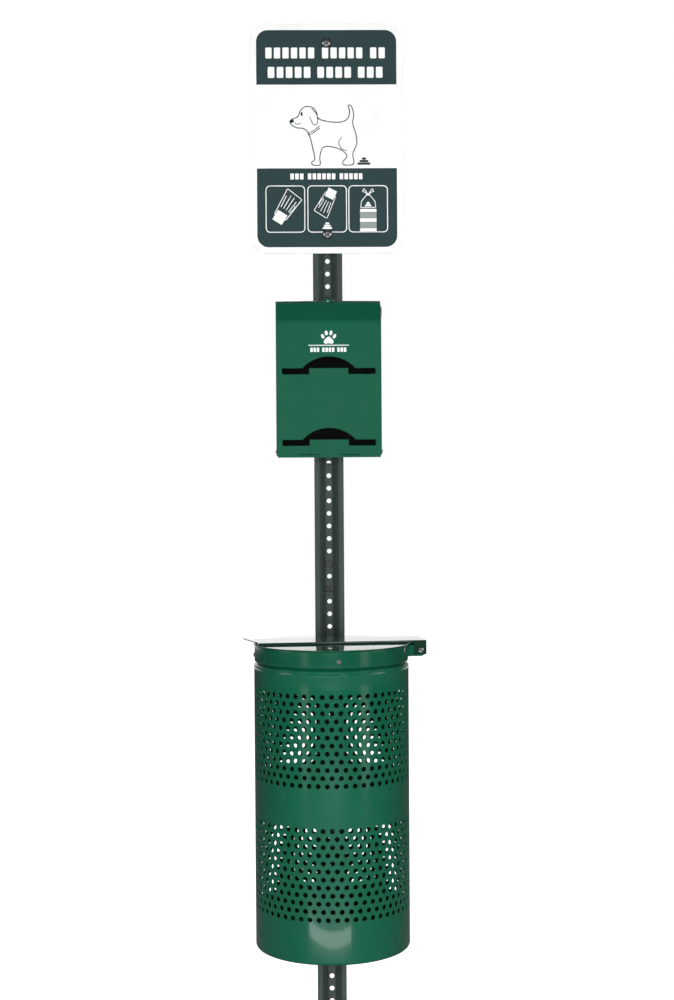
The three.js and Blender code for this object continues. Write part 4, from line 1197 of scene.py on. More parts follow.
bores = [drill(r, 8, (x, plate_front - 2, z)) for x, z, r in holes]
carve(back, bores + [rod_drill()])
ease_edges(back, 0.3, from_angle=60)
fit(back, DISPENSER_GREEN, "root", "dispenser_paint", "dispenser_back")
print("ear centre height, mm:", round(ear_middle, 1))

# %% [markdown]
# A thin bright bead runs along the plate's top edge and follows the ear: a painted
# highlight for the line of light along that edge. It is a round bar swept along a
# line, with the bar's rings set square to the line.

# %% Bright bead along the plate's top, a painted highlight
BEAD_RADIUS = 1.3


def swept_bar(name, line, radius, depth_y, sides=12):
    welder = Welder()
    rings = []
    for i, (x, z) in enumerate(line):
        ahead = Vector(line[min(i + 1, len(line) - 1)]) - Vector(line[max(i - 1, 0)])
        across = Vector((-ahead.y, ahead.x)).normalized() * radius
        turns = [2 * pi * k / sides for k in range(sides)]
        rings.append([welder.point(x + across.x * cos(a), depth_y + radius * sin(a),
                                   z + across.y * cos(a)) for a in turns])
    skin(welder, rings)
    return raw_piece(name, welder.points, welder.faces)


bead_line = [(PLATE_HALF - 0.3, plate_top - BEAD_RADIUS)]
bead_line += arc((0, ear_middle), EAR_RADIUS - BEAD_RADIUS, ear_start, pi - ear_start, 24)
bead_line.append((-PLATE_HALF + 0.3, plate_top - BEAD_RADIUS))
# Painted highlight: this bright zinc strip stands for the light along the top edge.
top_highlight_strip = swept_bar("plate_top_highlight_strip", bead_line, BEAD_RADIUS, plate_front)
fit(top_highlight_strip, ZINC, "root", "zinc_steel")

# %% [markdown]
# The hinge rod has peened ends, and the pins that hold the bags end in a hook.
# Both are bars, so a turned profile does for the rod and a swept round for a pin.

# %% Hinge rod and bag pins
rod_low, rod_high = part_box("cover_hinge_rod")
rod_length = rod_high.x - rod_low.x
peened = dome((rod_high.z - rod_low.z) / 2, 1.9)
rod_profile = [(0, 0)] + [(r, 1.9 - h) for r, h in reversed(peened)][1:]
rod_profile += [(2.5, 2.0), (2.5, rod_length - 2.0)]
rod_profile += [(r, rod_length - 1.9 + h) for r, h in peened]
rod_start = (rod_low.x, rod_middle.y, rod_middle.z)
rod = turned("hinge_rod_peened", rod_profile, rod_start, (1, 0, 0), 32)
fit(rod, ZINC, "root", "zinc_steel", "cover_hinge_rod")

PIN_RADIUS = 3
PIN_SIDES = 20


def bag_pin(node):
    """A bar that runs forward from the plate and turns up at its end."""
    low, high = part_box(node)
    x = (low.x + high.x) / 2
    axis_z = low.z + PIN_RADIUS
    line = round_corners([
        (high.y, axis_z), (low.y + PIN_RADIUS, axis_z), (low.y + PIN_RADIUS, high.z),
    ], [0, 3.4, 0], steps=8)
    welder = Welder()
    rings = []
    for i, (y, z) in enumerate(line):
        ahead = Vector(line[min(i + 1, len(line) - 1)]) - Vector(line[max(i - 1, 0)])
        lift = Vector((-ahead.y, ahead.x)).normalized()
        radius = PIN_RADIUS * (0.6 if i == len(line) - 1 else 0.98)
        turns = [2 * pi * k / PIN_SIDES for k in range(PIN_SIDES)]
        rings.append([welder.point(x + radius * sin(a), y + radius * cos(a) * lift.x,
                                   z + radius * cos(a) * lift.y) for a in turns])
    skin(welder, rings)
    pin = raw_piece(node + "_bent", welder.points, welder.faces)
    return fit(pin, ZINC, "root", "zinc_steel", node)


for level in ("lower", "upper"):
    for side in ("left", "right"):
        bag_pin(f"{level}_bag_pin_{side}")

# %% [markdown]
# A pack is a stack of flat folded bags on two pins. Each bag is a thin wavy leaf, and
# no two leaves end at quite the same height. A fixed seed keeps the same pack on
# every run. A card header at the front holds the stack together.

# %% Packs of bags
LEAVES = 24
LEAF_COLUMNS, LEAF_ROWS = 26, 12
HEADER_HEIGHT = 24
chance = np.random.default_rng(7)


def bag_leaf(welder, x0, x1, y, thickness, z0, z1):
    """One closed thin leaf with soft ripples that fade towards its fixed top."""
    phase = chance.uniform(0, 2 * pi, 3)
    swing = chance.uniform(0.15, 0.3)
    sides = []
    for offset in (0, thickness):
        rows_of_points = []
        for j in range(LEAF_ROWS + 1):
            v = j / LEAF_ROWS
            row = []
            for i in range(LEAF_COLUMNS + 1):
                u = i / LEAF_COLUMNS
                ripple = sin(9 * u + phase[0] + 2 * v) + 0.6 * sin(21 * u + phase[1])
                ripple += 0.5 * sin(8 * v + phase[2])
                depth = y + offset + swing * ripple * (1 - 0.7 * v)
                row.append(welder.point(x0 + u * (x1 - x0), depth, z0 + v * (z1 - z0)))
            rows_of_points.append(row)
        sides.append(rows_of_points)
    for grid in sides:
        for a, b in zip(grid, grid[1:]):
            for i in range(LEAF_COLUMNS):
                welder.face([a[i], a[i + 1], b[i + 1], b[i]])
    rim_front, rim_rear = (
        grid[0] + [r[-1] for r in grid[1:]] + grid[-1][-2::-1] + [r[0] for r in grid[-2:0:-1]]
        for grid in sides
    )
    for i in range(len(rim_front)):
        welder.face([rim_front[i - 1], rim_front[i], rim_rear[i], rim_rear[i - 1]])


for level in ("lower", "upper"):
    low, high = part_box(level + "_bag_pack")
    stack = Welder()
    pitch = (high.y - low.y - 2) / LEAVES
    for i in range(LEAVES):
        shy = chance.uniform(0, 1.6)
        bag_leaf(stack, low.x + shy, high.x - chance.uniform(0, 1.6),
                 low.y + 1.6 + i * pitch, pitch * 0.45,
                 low.z + chance.uniform(0, 2.5), high.z - chance.uniform(0, 0.8))
    leaves = raw_piece(level + "_bag_leaves", stack.points, stack.faces)
    fit(leaves, BAG_FILM, "root", "bag_film", level + "_bag_pack")
    header = block(level + "_bag_header_card", (low.x + 1, low.y, high.z - HEADER_HEIGHT),
                   (high.x - 1, low.y + 0.9, high.z))
    ease_edges(header, 0.2)
    fit(header, HEADER_CARD, "root", "bag_film")
print("leaves in a pack:", LEAVES, "pitch, mm:", round(pitch, 2))

# %% [markdown]
# The cam lock: a chromed barrel through the cover's side, a brass plug with a key
# slot, a nut, a cam on the plug's tail, and a bent keeper on the back plate that the
# cam swings behind. Only the barrel's face shows when the cover is shut.

# %% Cam lock
barrel_low, barrel_high = part_box("lock_barrel")
FLANGE_THICK = 2.4
THREAD_CREST, THREAD_ROOT, THREAD_STEP = 9.5, 9.0, 1.5
REAR_BORE, FRONT_BORE, BORE_STEP = 4.4, 5.9, 3
PLUG_REAR, PLUG_FRONT = 4, 5.5
flange_radius = (barrel_high.z - barrel_low.z) / 2
body_end = barrel_high.x - FLANGE_THICK


def lock_turned(name, profile, from_x):
    return turned(name, profile, (from_x, *lock_at), (1, 0, 0))


body_length = body_end - barrel_low.x
barrel_profile = [(REAR_BORE, 0), (THREAD_CREST - 0.4, 0), (THREAD_CREST, 0.5)]
ridges = int((body_length - 4) / THREAD_STEP)
for i in range(ridges):
    base = i * THREAD_STEP
    barrel_profile += [(THREAD_CREST, base + 0.8), (THREAD_ROOT, base + THREAD_STEP)]
barrel_profile += [(THREAD_CREST, body_length - 2), (THREAD_CREST, body_length)]
barrel_profile += round_corners([
    (flange_radius, body_length), (flange_radius, body_length + FLANGE_THICK),
    (FRONT_BORE, body_length + FLANGE_THICK), (FRONT_BORE, BORE_STEP),
], [0, 1.1, 0.3, 0], steps=5)
barrel_profile.append((REAR_BORE, BORE_STEP))
barrel = lock_turned("lock_barrel_turned", barrel_profile, barrel_low.x)
fit(barrel, CHROME, "cover", "lock_chrome", "lock_barrel")

plug_low, plug_high = part_box("lock_plug")
plug_length = plug_high.x - plug_low.x
plug_start = barrel_low.x + BORE_STEP + 0.3 - plug_low.x
plug_profile = [(0, 0), (PLUG_REAR - 0.4, 0), (PLUG_REAR, 0.4), (PLUG_REAR, plug_start),
                (PLUG_FRONT, plug_start), (PLUG_FRONT, plug_length - 0.4),
                (PLUG_FRONT - 0.4, plug_length), (0, plug_length)]
plug = lock_turned("lock_plug_turned", plug_profile, plug_low.x)
carve(plug, [block("key slot", (plug_high.x - 4, lock_at[0] - 0.7, lock_at[1] - 3.5),
                   (plug_high.x + 1, lock_at[0] + 0.7, lock_at[1] + 3.5))])
ease_edges(plug, 0.12)
fit(plug, BRASS, "lock", "lock_brass", "lock_plug")

nut_low, nut_high = part_box("lock_nut")
flats = min(nut_high.y - nut_low.y, nut_high.z - nut_low.z)
lock_nut = prism("lock_nut_cut", hexagon(flats, lock_at), nut_low.x, nut_high.x, "x")
carve(lock_nut, [drill(LOCK_BORE, 10, (nut_low.x - 1, *lock_at), (1, 0, 0), 48)])
ease_edges(lock_nut, 0.4)
fit(lock_nut, ZINC, "cover", "zinc_steel", "lock_nut")

cam_low, cam_high = part_box("lock_cam")
CAM_HALF, CAM_BORE = 4, 4.3
hub = lock_at[0] - cam_low.y
meet = asin(CAM_HALF / hub)
cam_outline = arc(lock_at, hub, meet, 2 * pi - meet, 30)
cam_outline += round_corners([
    cam_outline[-1], (cam_high.y, lock_at[1] - CAM_HALF),
    (cam_high.y, lock_at[1] + CAM_HALF), cam_outline[0],
], [0, 2.4, 2.4, 0])[1:-1]
cam = prism("lock_cam_blade", cam_outline, cam_low.x, cam_high.x, "x")
carve(cam, [drill(CAM_BORE, 6, (cam_low.x - 1, *lock_at), (1, 0, 0))])
ease_edges(cam, 0.25)
fit(cam, ZINC, "lock", "zinc_steel", "lock_cam")

keeper_low, keeper_high = part_box("lock_keeper")
KEEPER_SHEET, KEEPER_FOOT = 1.6, 17
half = KEEPER_SHEET / 2
arm_x = keeper_low.x + KEEPER_FOOT
keeper_line = [
    (keeper_low.x, keeper_high.y - half), (arm_x, keeper_high.y - half),
    (arm_x, keeper_low.y + half), (keeper_high.x, keeper_low.y + half),
]
keeper = prism("lock_keeper_bent", sheet_outline(keeper_line, [0, 1.8, 1.8, 0], KEEPER_SHEET),
               keeper_low.z, keeper_high.z, "z")
ease_edges(keeper, 0.2)
fit(keeper, ZINC, "root", "zinc_steel", "lock_keeper")
print("key slot at height, mm:", round(lock_at[1], 1))

# %% [markdown]
# The bin wall is a rolled sheet with two fields of punched holes in staggered rows.
# Like the post's web it is laid cell by cell, but bent round the bin. Each cell's
# top and bottom edges have a point in the middle, which is where the corners of the
# next, shifted row meet them. The plain zones above, between and below are turned.

# %% Sizes of the bin wall
BIN_SHEET = 1.6
HOLES_ROUND = 54
ROW_PITCH = 14.85
ROWS_IN_FIELD = 12
UPPER_FIELD_TOP, LOWER_FIELD_TOP = 789.5, 544.25
PUNCH_RADIUS = 4.75
PUNCH_POINTS = 16
PATTERN_START = -pi / 2 - 0.13 * 2 * pi / HOLES_ROUND
FOOT_BEND = 6
NECK_RADIUS = 139.3
SHOULDER_LOW, SHOULDER_HIGH = 834.7, 840.2
BEAD_HEIGHT, GROOVE_HEIGHT = 828.3, 832.3

bin_low, bin_high = part_box("bin_wall")
BIN_RADIUS = (bin_high.x - bin_low.x) / 2
RING_POINTS = 2 * HOLES_ROUND
print("bin, mm:", round(2 * BIN_RADIUS, 1), "across,", round(bin_high.z - bin_low.z, 1), "high,",
      "hole pitch", round(2 * pi * BIN_RADIUS / HOLES_ROUND, 1))

# %% [markdown]
# Laying the cells one by one costs more lines than a boolean, but every hole comes
# out round, and the paint shades evenly because no long thin triangle is left. The
# outer and inner skins use the same cells, and the hole's edge joins the two.

# %% Lay the perforated fields and the turned zones


def field_levels(top):
    high = top + ROW_PITCH / 2
    return [high - i * ROW_PITCH for i in range(ROWS_IN_FIELD + 1)][::-1]


def on_wall(welder, radius, angle, z):
    return welder.point(BIN_MIDDLE.x + radius * cos(angle), BIN_MIDDLE.y + radius * sin(angle), z)


def punched_cell(welder, radius, angle, low, high):
    """Six faces of the wall round one punched hole; returns the hole's ring."""
    step = pi / HOLES_ROUND
    middle = (low + high) / 2
    ring = []
    for k in range(PUNCH_POINTS):
        turn = 2 * pi * k / PUNCH_POINTS
        ring.append(on_wall(welder, radius, angle + PUNCH_RADIUS * cos(turn) / BIN_RADIUS,
                            middle + PUNCH_RADIUS * sin(turn)))
    rim = [(1, low), (1, high), (0, high), (-1, high), (-1, low), (0, low)]
    rim = [on_wall(welder, radius, angle + side * step, z) for side, z in rim]
    spans = [(14, 18), (2, 4), (4, 6), (6, 10), (10, 12), (12, 14)]
    for i, (first, last) in enumerate(spans):
        edge = [ring[k % PUNCH_POINTS] for k in range(first, last + 1)]
        welder.face([rim[i], rim[(i + 1) % 6]] + edge[::-1])
    return ring


def turned_zone(welder, profile):
    for (r0, z0), (r1, z1) in zip(profile, profile[1:]):
        for i in range(RING_POINTS):
            a, b = (PATTERN_START + 2 * pi * k / RING_POINTS for k in (i, i + 1))
            corners = [(r0, a, z0), (r0, b, z0), (r1, b, z1), (r1, a, z1)]
            welder.face([on_wall(welder, *c) for c in corners])


def bead(height, radius, bulge, half_width):
    """A soft ridge, or a groove where bulge is negative, on the wall's profile."""
    steps = [-1, -0.6, -0.2, 0.2, 0.6, 1]
    return [(radius + bulge * (0.5 + 0.5 * cos(pi * s)), height + s * half_width) for s in steps]


wall = Welder()
upper_field, lower_field = field_levels(UPPER_FIELD_TOP), field_levels(LOWER_FIELD_TOP)
inside = BIN_RADIUS - BIN_SHEET
for field in (upper_field, lower_field):
    for row, (low, high) in enumerate(zip(field, field[1:])):
        shift = 0.5 if row % 2 == 0 else 0
        for i in range(HOLES_ROUND):
            angle = PATTERN_START + (i + shift) * 2 * pi / HOLES_ROUND
            outer = punched_cell(wall, BIN_RADIUS, angle, low, high)
            inner = punched_cell(wall, inside, angle, low, high)
            for k in range(PUNCH_POINTS):
                wall.face([outer[k - 1], outer[k], inner[k], inner[k - 1]])

foot = (BIN_RADIUS - FOOT_BEND, bin_low.z + FOOT_BEND)
outer_foot = arc(foot, FOOT_BEND, -pi / 2, 0, 8)
inner_foot = arc(foot, FOOT_BEND - BIN_SHEET, -pi / 2, 0, 8)
crown = round_corners([
    (BIN_RADIUS, GROOVE_HEIGHT + 1.7), (BIN_RADIUS, SHOULDER_LOW + 1.2),
    (NECK_RADIUS, SHOULDER_HIGH), (NECK_RADIUS, bin_high.z),
], [0, 1.1, 2.5, 0], steps=4)
outer_top = bead(BEAD_HEIGHT, BIN_RADIUS, 0.8, 2.2)
outer_top += bead(GROOVE_HEIGHT, BIN_RADIUS, -0.9, 1.6) + crown
inner_top = [(inside, SHOULDER_LOW - 1), (NECK_RADIUS - BIN_SHEET, SHOULDER_HIGH - 1.2),
             (NECK_RADIUS - BIN_SHEET, bin_high.z)]
turned_zone(wall, outer_foot + [(BIN_RADIUS, lower_field[0])])
turned_zone(wall, inner_foot + [(inside, lower_field[0])])
turned_zone(wall, [inner_foot[0], outer_foot[0]])
for radius in (BIN_RADIUS, inside):
    turned_zone(wall, [(radius, lower_field[-1]), (radius, upper_field[0])])
turned_zone(wall, [(BIN_RADIUS, upper_field[-1])] + outer_top)
turned_zone(wall, [(inside, upper_field[-1])] + inner_top)
turned_zone(wall, [inner_top[-1], outer_top[-1]])
bin_wall = raw_piece("bin_wall_punched", wall.points, wall.faces)
print("bin wall faces:", len(bin_wall.data.polygons))

# %% [markdown]
# A gloss paint shows every wrong normal. On the punched fields the true normal is
# known: it points straight out from the bin's axis. Writing it at each corner of
# each skin face hides the flat facets, while the hole edges stay crisp. The faces
# that look at the axis then get a darker green, painted shade for the bin's inside,
# which wears the same coat as the outside.

# %% True normals for the bin wall


def straighten_normals(piece, half_gap=0.5):
    mesh = piece.data
    normals = np.zeros((len(mesh.loops), 3), np.float32)
    mesh.corner_normals.foreach_get("vector", normals.reshape(-1))
    axis = np.array([BIN_MIDDLE.x, BIN_MIDDLE.y]) * MM
    points = np.array([v.co for v in mesh.vertices])
    reach = points[:, :2] - axis
    distance = np.hypot(reach[:, 0], reach[:, 1])
    outward = reach / distance[:, None]
    for face in mesh.polygons:
        spots = list(face.vertices)
        heights = points[spots, 2] / MM
        if heights.min() < lower_field[0] - 1 or heights.max() > upper_field[-1] + 1:
            continue
        gaps = distance[spots] / MM
        for radius, way in ((BIN_RADIUS, 1), (inside, -1)):
            if abs(gaps - radius).max() < half_gap:
                for loop, spot in zip(face.loop_indices, spots):
                    normals[loop] = (way * outward[spot, 0], way * outward[spot, 1], 0)
    mesh.normals_split_custom_set(normals)


straighten_normals(bin_wall)
fit(bin_wall, BIN_GREEN, "root", "bin_paint", "bin_wall")
# Painted shade: faces that look at the axis get the darker green.
bin_wall.data.materials.append(INSIDE_SHADE_GREEN)
for face in bin_wall.data.polygons:
    outward = face.center - BIN_MIDDLE * MM
    outward.z = 0
    if face.normal.dot(outward.normalized()) < -0.3:
        face.material_index = 1

# %% [markdown]
# The floor is a shallow pressed pan, and the rim band is a rolled channel that
# stiffens the mouth. Both are profiles turned about the bin's axis.

# %% Floor pan and rim band
floor_low, floor_high = part_box("bin_floor")
FLOOR_RADIUS = (floor_high.x - floor_low.x) / 2
on_axis = (BIN_MIDDLE.x, BIN_MIDDLE.y, 0)
PAN_SHEET = 1.6
half = PAN_SHEET / 2
pan_line = [(0, floor_low.z + half), (FLOOR_RADIUS - half, floor_low.z + half),
            (FLOOR_RADIUS - half, floor_high.z)]
pan = turned("bin_floor_pan", sheet_outline(pan_line, [0, 4, 0], PAN_SHEET), on_axis, segments=128)
fit(pan, BIN_GREEN, "root", "bin_paint", "bin_floor")

band_low, band_high = part_box("rim_band")
BAND_RADIUS = (band_high.x - band_low.x) / 2
BAND_SHEET = 1.6
half = BAND_SHEET / 2
band_line = [
    (NECK_RADIUS + 0.3, band_low.z + half), (BAND_RADIUS - half, band_low.z + half),
    (BAND_RADIUS - half, band_high.z - half), (NECK_RADIUS - 3.6, band_high.z - half),
]
band = turned("rim_band_rolled", sheet_outline(band_line, [0, 1.6, 2.2, 0], BAND_SHEET), on_axis,
              segments=128)
fit(band, BAND_GREEN, "root", "bin_paint", "rim_band")
print("band radius, mm:", round(BAND_RADIUS, 1))

# %% [markdown]
# Small fasteners sit round the band. Each points straight out from the bin's axis,
# so its direction comes from where its plain part stands. The screws get a cross
# recess, and the rivets the small pit that a drawn mandrel leaves.

# %% Band screws and bracket rivets


def radial_fastener(node, head_radius, head_height, shank_radius, cross):
    middle = part_middle(node)
    away = Vector((middle.x - BIN_MIDDLE.x, middle.y - BIN_MIDDLE.y, 0)).normalized()
    corners = [Vector(v.co) / MM - BIN_MIDDLE for v in frame["nodes"][node].data.vertices]
    reach = [c.dot(away) for c in corners]
    tip, top = min(reach), max(reach)
    start = Vector((BIN_MIDDLE.x, BIN_MIDDLE.y, middle.z)) + away * tip
    seat = top - tip - head_height
    head = [(r, seat + 0.6 + h) for r, h in dome(head_radius, head_height - 0.6)]
    if not cross:
        crown_z = head[-1][1]
        head = head[:-1] + [(0.9, crown_z - 0.1), (0.8, crown_z - 0.7), (0, crown_z - 0.7)]
    profile = [(0, 0), (shank_radius * 0.5, 0), (shank_radius, 1.5), (shank_radius, seat),
               (head_radius, seat)] + head
    piece = turned(node + "_headed", profile, start, away, 32)
    if cross:
        across = Vector((-away.y, away.x, 0))
        depth, blade = 1.3, 2.5
        for span, rise in ((blade, 0.4), (0.4, blade)):
            cutter = block("recess", (-span, -depth, -rise), (span, depth, rise))
            turn = Matrix((across, away, Vector((0, 0, 1)))).transposed().to_4x4()
            crown_at = start + away * (top - tip)
            cutter.data.transform(Matrix.Translation(crown_at * MM) @ turn)
            carve(piece, [cutter])
    shade(piece.data, 35)
    return fit(piece, ZINC, "root", "zinc_steel", node)


for i in range(3):
    radial_fastener(f"band_screw_{i + 1}", 4.25, 2.4, 2, cross=True)
for end in ("front", "rear"):
    radial_fastener("bracket_rivet_" + end, 4, 2, 2.4, cross=False)

# %% [markdown]
# Two saddles fill the space between the round bin and the flat flanges. Seen from
# above, a saddle is a block with a hollow front that fits the bin.

# %% Saddles
SADDLE_FIT = BIN_RADIUS + 0.3


def saddle(node):
    low, high = part_box(node)
    middle = part_middle(node)
    reach = asin(high.x / SADDLE_FIT)
    hollow = arc((0, BIN_MIDDLE.y), SADDLE_FIT, pi / 2 - reach, pi / 2 + reach, 20)
    outline = hollow + [(low.x, high.y), (high.x, high.y)]
    piece = prism(node + "_cast", outline, low.z, high.z, "z")
    carve(piece, [drill(BOLT_BORE, 60, (0, low.y - 10, middle.z))])
    ease_edges(piece, 0.9, 3)
    return fit(piece, BAND_GREEN, "root", "bin_paint", node)


saddle("bin_upper_saddle")
saddle("bin_lower_saddle")

# %% [markdown]
# The hinge bracket is a strip rolled to the band with two ears folded out, and the
# lid's pivot passes through the ears. Everything on the hinge is laid out along a
# line U that is turned a few degrees with the strap, so these pieces are drawn
# straight and then turned about the bin's axis.

# %% Directions on the hinge
lid_joint = [j for j in frame["joints"] if j["name"] == "lid_hinge"][0]
hinge_axis = Vector(lid_joint["axis"])
STRAP_TURN = atan2(-hinge_axis.x, hinge_axis.y)
pivot = Vector(lid_joint["pos_m"]) / MM
pivot_u = hypot(pivot.x - BIN_MIDDLE.x, pivot.y - BIN_MIDDLE.y)
pivot_z = pivot.z
print("strap turned, degrees:", round(degrees(STRAP_TURN), 1))
print("pivot reach, mm:", round(pivot_u, 1))


def turn_with_strap(piece):
    turn = Matrix.Translation(Vector((BIN_MIDDLE.x, BIN_MIDDLE.y, 0)) * MM)
    turn = turn @ Matrix.Rotation(STRAP_TURN, 4, "Z")
    piece.data.transform(turn)
    return piece


# %% [markdown]
# The bracket is cut from thicker sheet than the bin. Its strip wraps about a fifth of
# the way round the band, and its two ears stand just inside the strap's cheeks, so
# that the lid can't slide along its pin.

# %% Hinge bracket
BRACKET_SHEET = 2
EAR_RADIUS_PIVOT, PIVOT_BORE = 11.5, 3.4
BRACKET_SPREAD = radians(33)
STRAP_WIDTH, STRAP_SHEET, STRAP_HEIGHT = 86, 1.6, 5
ear_outer = STRAP_WIDTH / 2 - STRAP_SHEET - 0.8
inner = BAND_RADIUS + 0.3
low, high = pivot_z - EAR_RADIUS_PIVOT, pivot_z + EAR_RADIUS_PIVOT - 2
strip_outline = arc((0, 0), inner + BRACKET_SHEET, -BRACKET_SPREAD, BRACKET_SPREAD, 48)
strip_outline += arc((0, 0), inner, BRACKET_SPREAD, -BRACKET_SPREAD, 48)
bracket = prism("hinge_bracket_folded", strip_outline, low, high, "z")
root_u = sqrt(inner ** 2 - ear_outer ** 2) + BRACKET_SHEET * 0.7
ears = []
for side in (-1, 1):
    ear = [(root_u, low)]
    ear += arc((pivot_u, pivot_z), EAR_RADIUS_PIVOT, -pi / 2, asin(1 - 2 / EAR_RADIUS_PIVOT), 24)
    ear.append((root_u, high))
    faces_at = sorted((side * ear_outer, side * (ear_outer - BRACKET_SHEET)))
    ears.append(prism("ear", ear, *faces_at, "y"))
carve(bracket, ears, "UNION")
carve(bracket, [drill(PIVOT_BORE, 120, (pivot_u, -60, pivot_z))])
ease_edges(bracket, 0.35)
turn_with_strap(bracket)
fit(bracket, BAND_GREEN, "root", "bin_paint", "hinge_bracket")

# %% [markdown]
# The pin is headed at the front and held by a pushed-on cap at the rear. The cap's
# crown is open in the middle, where the pin's chamfered end shows.

# %% Pivot pin and its cap
PIVOT_HEAD, PIVOT_HEAD_HEIGHT = 5, 2.4
pin_start = -STRAP_WIDTH / 2 - 0.3 - PIVOT_HEAD_HEIGHT
pin_length = -2 * pin_start + 1
crown_steps = [(r, PIVOT_HEAD_HEIGHT - 0.9 - h) for r, h in reversed(dome(PIVOT_HEAD, 1.5))]
pin_profile = crown_steps + [
    (PIVOT_HEAD, PIVOT_HEAD_HEIGHT), (3, PIVOT_HEAD_HEIGHT), (3, pin_length - 0.6),
    (2.4, pin_length), (0, pin_length),
]
pin = turned("lid_pivot_headed", pin_profile, (pivot_u, pin_start, pivot_z), (0, 1, 0), 32)
fit(turn_with_strap(pin), ZINC, "root", "zinc_steel", "lid_pivot_pin")
cap_start = STRAP_WIDTH / 2 + 0.3
cap_rim = [(3.2, 0), (PIVOT_HEAD, 0)]
cap_rim += [(r, 0.9 + h) for r, h in dome(PIVOT_HEAD, 1.5)[:4]] + [(3.2, 2.2)]
cap = turned("lid_pivot_push_cap", cap_rim, (pivot_u, cap_start, pivot_z), (0, 1, 0), 32)
fit(turn_with_strap(cap), ZINC, "root", "zinc_steel", "lid_pivot_cap")

# %% [markdown]
# The lid is a flat disc with a rolled-off edge. Its gloss coat mirrors whatever
# stands above it, so its edge has to be round enough to catch a line of light.

# %% Lid disc
lid_low, lid_high = part_box("lid_disc")
LID_RADIUS = (lid_high.y - lid_low.y) / 2
rim = round_corners([
    (0, lid_low.z), (LID_RADIUS, lid_low.z), (LID_RADIUS, lid_high.z), (0, lid_high.z),
], [0, 0.7, 0.7, 0], steps=5)
lid = turned("lid_disc_pressed", rim, on_axis, segments=160)
fit(lid, LID_GREEN, "lid", "lid_paint", "lid_disc")

# %% [markdown]
# The strap is folded from one sheet: a shallow channel over the lid, two deep cheeks
# that take the pivot, and a narrow end bent up as the lifting handle. A deep channel
# is drawn first, then the part that would foul the lid is cut away, as a sheet worker
# notches a blank.

# %% Lid strap and handle
HANDLE_WIDTH, HANDLE_REACH, HANDLE_BEND = 40, 19, radians(17)
strap_base = lid_high.z + 0.3
strap_top = strap_base + STRAP_HEIGHT
cheek_start, cheek_end = pivot_u - 13, pivot_u + 11
cheek_low = pivot_z - 8
strap_start = -sqrt(LID_RADIUS ** 2 - (STRAP_WIDTH / 2) ** 2)
half = STRAP_SHEET / 2
side = STRAP_WIDTH / 2 - half
section = sheet_outline([
    (-side, cheek_low), (-side, strap_top - half), (side, strap_top - half), (side, cheek_low),
], [0, 1.8, 1.8, 0], STRAP_SHEET)
strap = prism("lid_strap_folded", section, strap_start, cheek_end, "x")
notch = round_corners([
    (strap_start - 5, cheek_low - 5), (cheek_start, cheek_low - 5), (cheek_start, strap_base),
    (strap_start - 5, strap_base),
], [0, 0, 2.5, 0], True)
carve(strap, [prism("notch", notch, -60, 60, "y")])
bend_u = -LID_RADIUS + 4
tip_u = -LID_RADIUS - HANDLE_REACH
mid = strap_top - half
tip_z = mid + (bend_u - tip_u) * tan(HANDLE_BEND)
tab_line = [(tip_u, tip_z), (bend_u, mid), (strap_start + 2, mid)]
tab_section = sheet_outline(tab_line, [0, 6, 0], STRAP_SHEET)
tab = prism("tab", tab_section, -HANDLE_WIDTH / 2, HANDLE_WIDTH / 2, "y")
tab_plan = round_corners([
    (tip_u - 2, -HANDLE_WIDTH / 2), (strap_start + 6, -HANDLE_WIDTH / 2),
    (strap_start + 6, HANDLE_WIDTH / 2), (tip_u - 2, HANDLE_WIDTH / 2),
], [11, 0, 0, 11], True, 8)
carve(tab, [prism("plan", tab_plan, strap_base - 20, strap_top + 40, "z")], "INTERSECT")
carve(strap, [tab], "UNION")
carve(strap, [drill(PIVOT_BORE, 120, (pivot_u, -60, pivot_z))])
ease_edges(strap, 0.3)
turn_with_strap(strap)
# The strap takes the darker copy of the lid paint, a painted shade.
fit(strap, STRAP_SHADED_GREEN, "lid", "lid_paint", "lid_strap")
print("strap, mm:", round(cheek_end - tip_u, 1), "long")

# %% [markdown]
# The studio: a seamless white floor, one large soft box in front at chest height, and
# weaker ones at the sides and above the rear. Two tall soft boxes draw the pale
# stripes down the bin, two small ones put a glint on its bead, and a low one shows as
# a window at its foot. The room is bright behind the station and dim in front,
# because a green gloss coat that faced a white room would look washed out.

# %% Floor
FLOOR_HALF = 9.0


def floor_paper():
    """White to the eye, but dull grey to the station, so that it throws up little glare."""
    finish = Finish("seamless paper", 0.9)
    finish.colour(finish.ramp(finish.noise(2, 4), [
        (0.3, (0.86, 0.86, 0.86, 1)),
        (0.7, (0.88, 0.88, 0.88, 1)),
    ]))
    finish.gloss(finish.noise(6, 3), 0.85, 0.95)
    finish.shader.inputs["Specular IOR Level"].default_value = 0.1
    finish.shader.inputs["Emission Color"].default_value = (1, 1, 1, 1)
    finish.shader.inputs["Emission Strength"].default_value = 1.0
    dull = finish.nodes.new("ShaderNodeBsdfDiffuse")
    dull.inputs["Color"].default_value = (0.25, 0.25, 0.25, 1)
    choose = finish.nodes.new("ShaderNodeMixShader")
    seen = finish.nodes.new("ShaderNodeLightPath").outputs["Is Camera Ray"]
    finish.link(seen, choose.inputs["Fac"])
    finish.link(dull.outputs["BSDF"], choose.inputs[1])
    finish.link(finish.shader.outputs["BSDF"], choose.inputs[2])
    finish.link(choose.outputs["Shader"], finish.nodes["Material Output"].inputs["Surface"])
    return finish.material


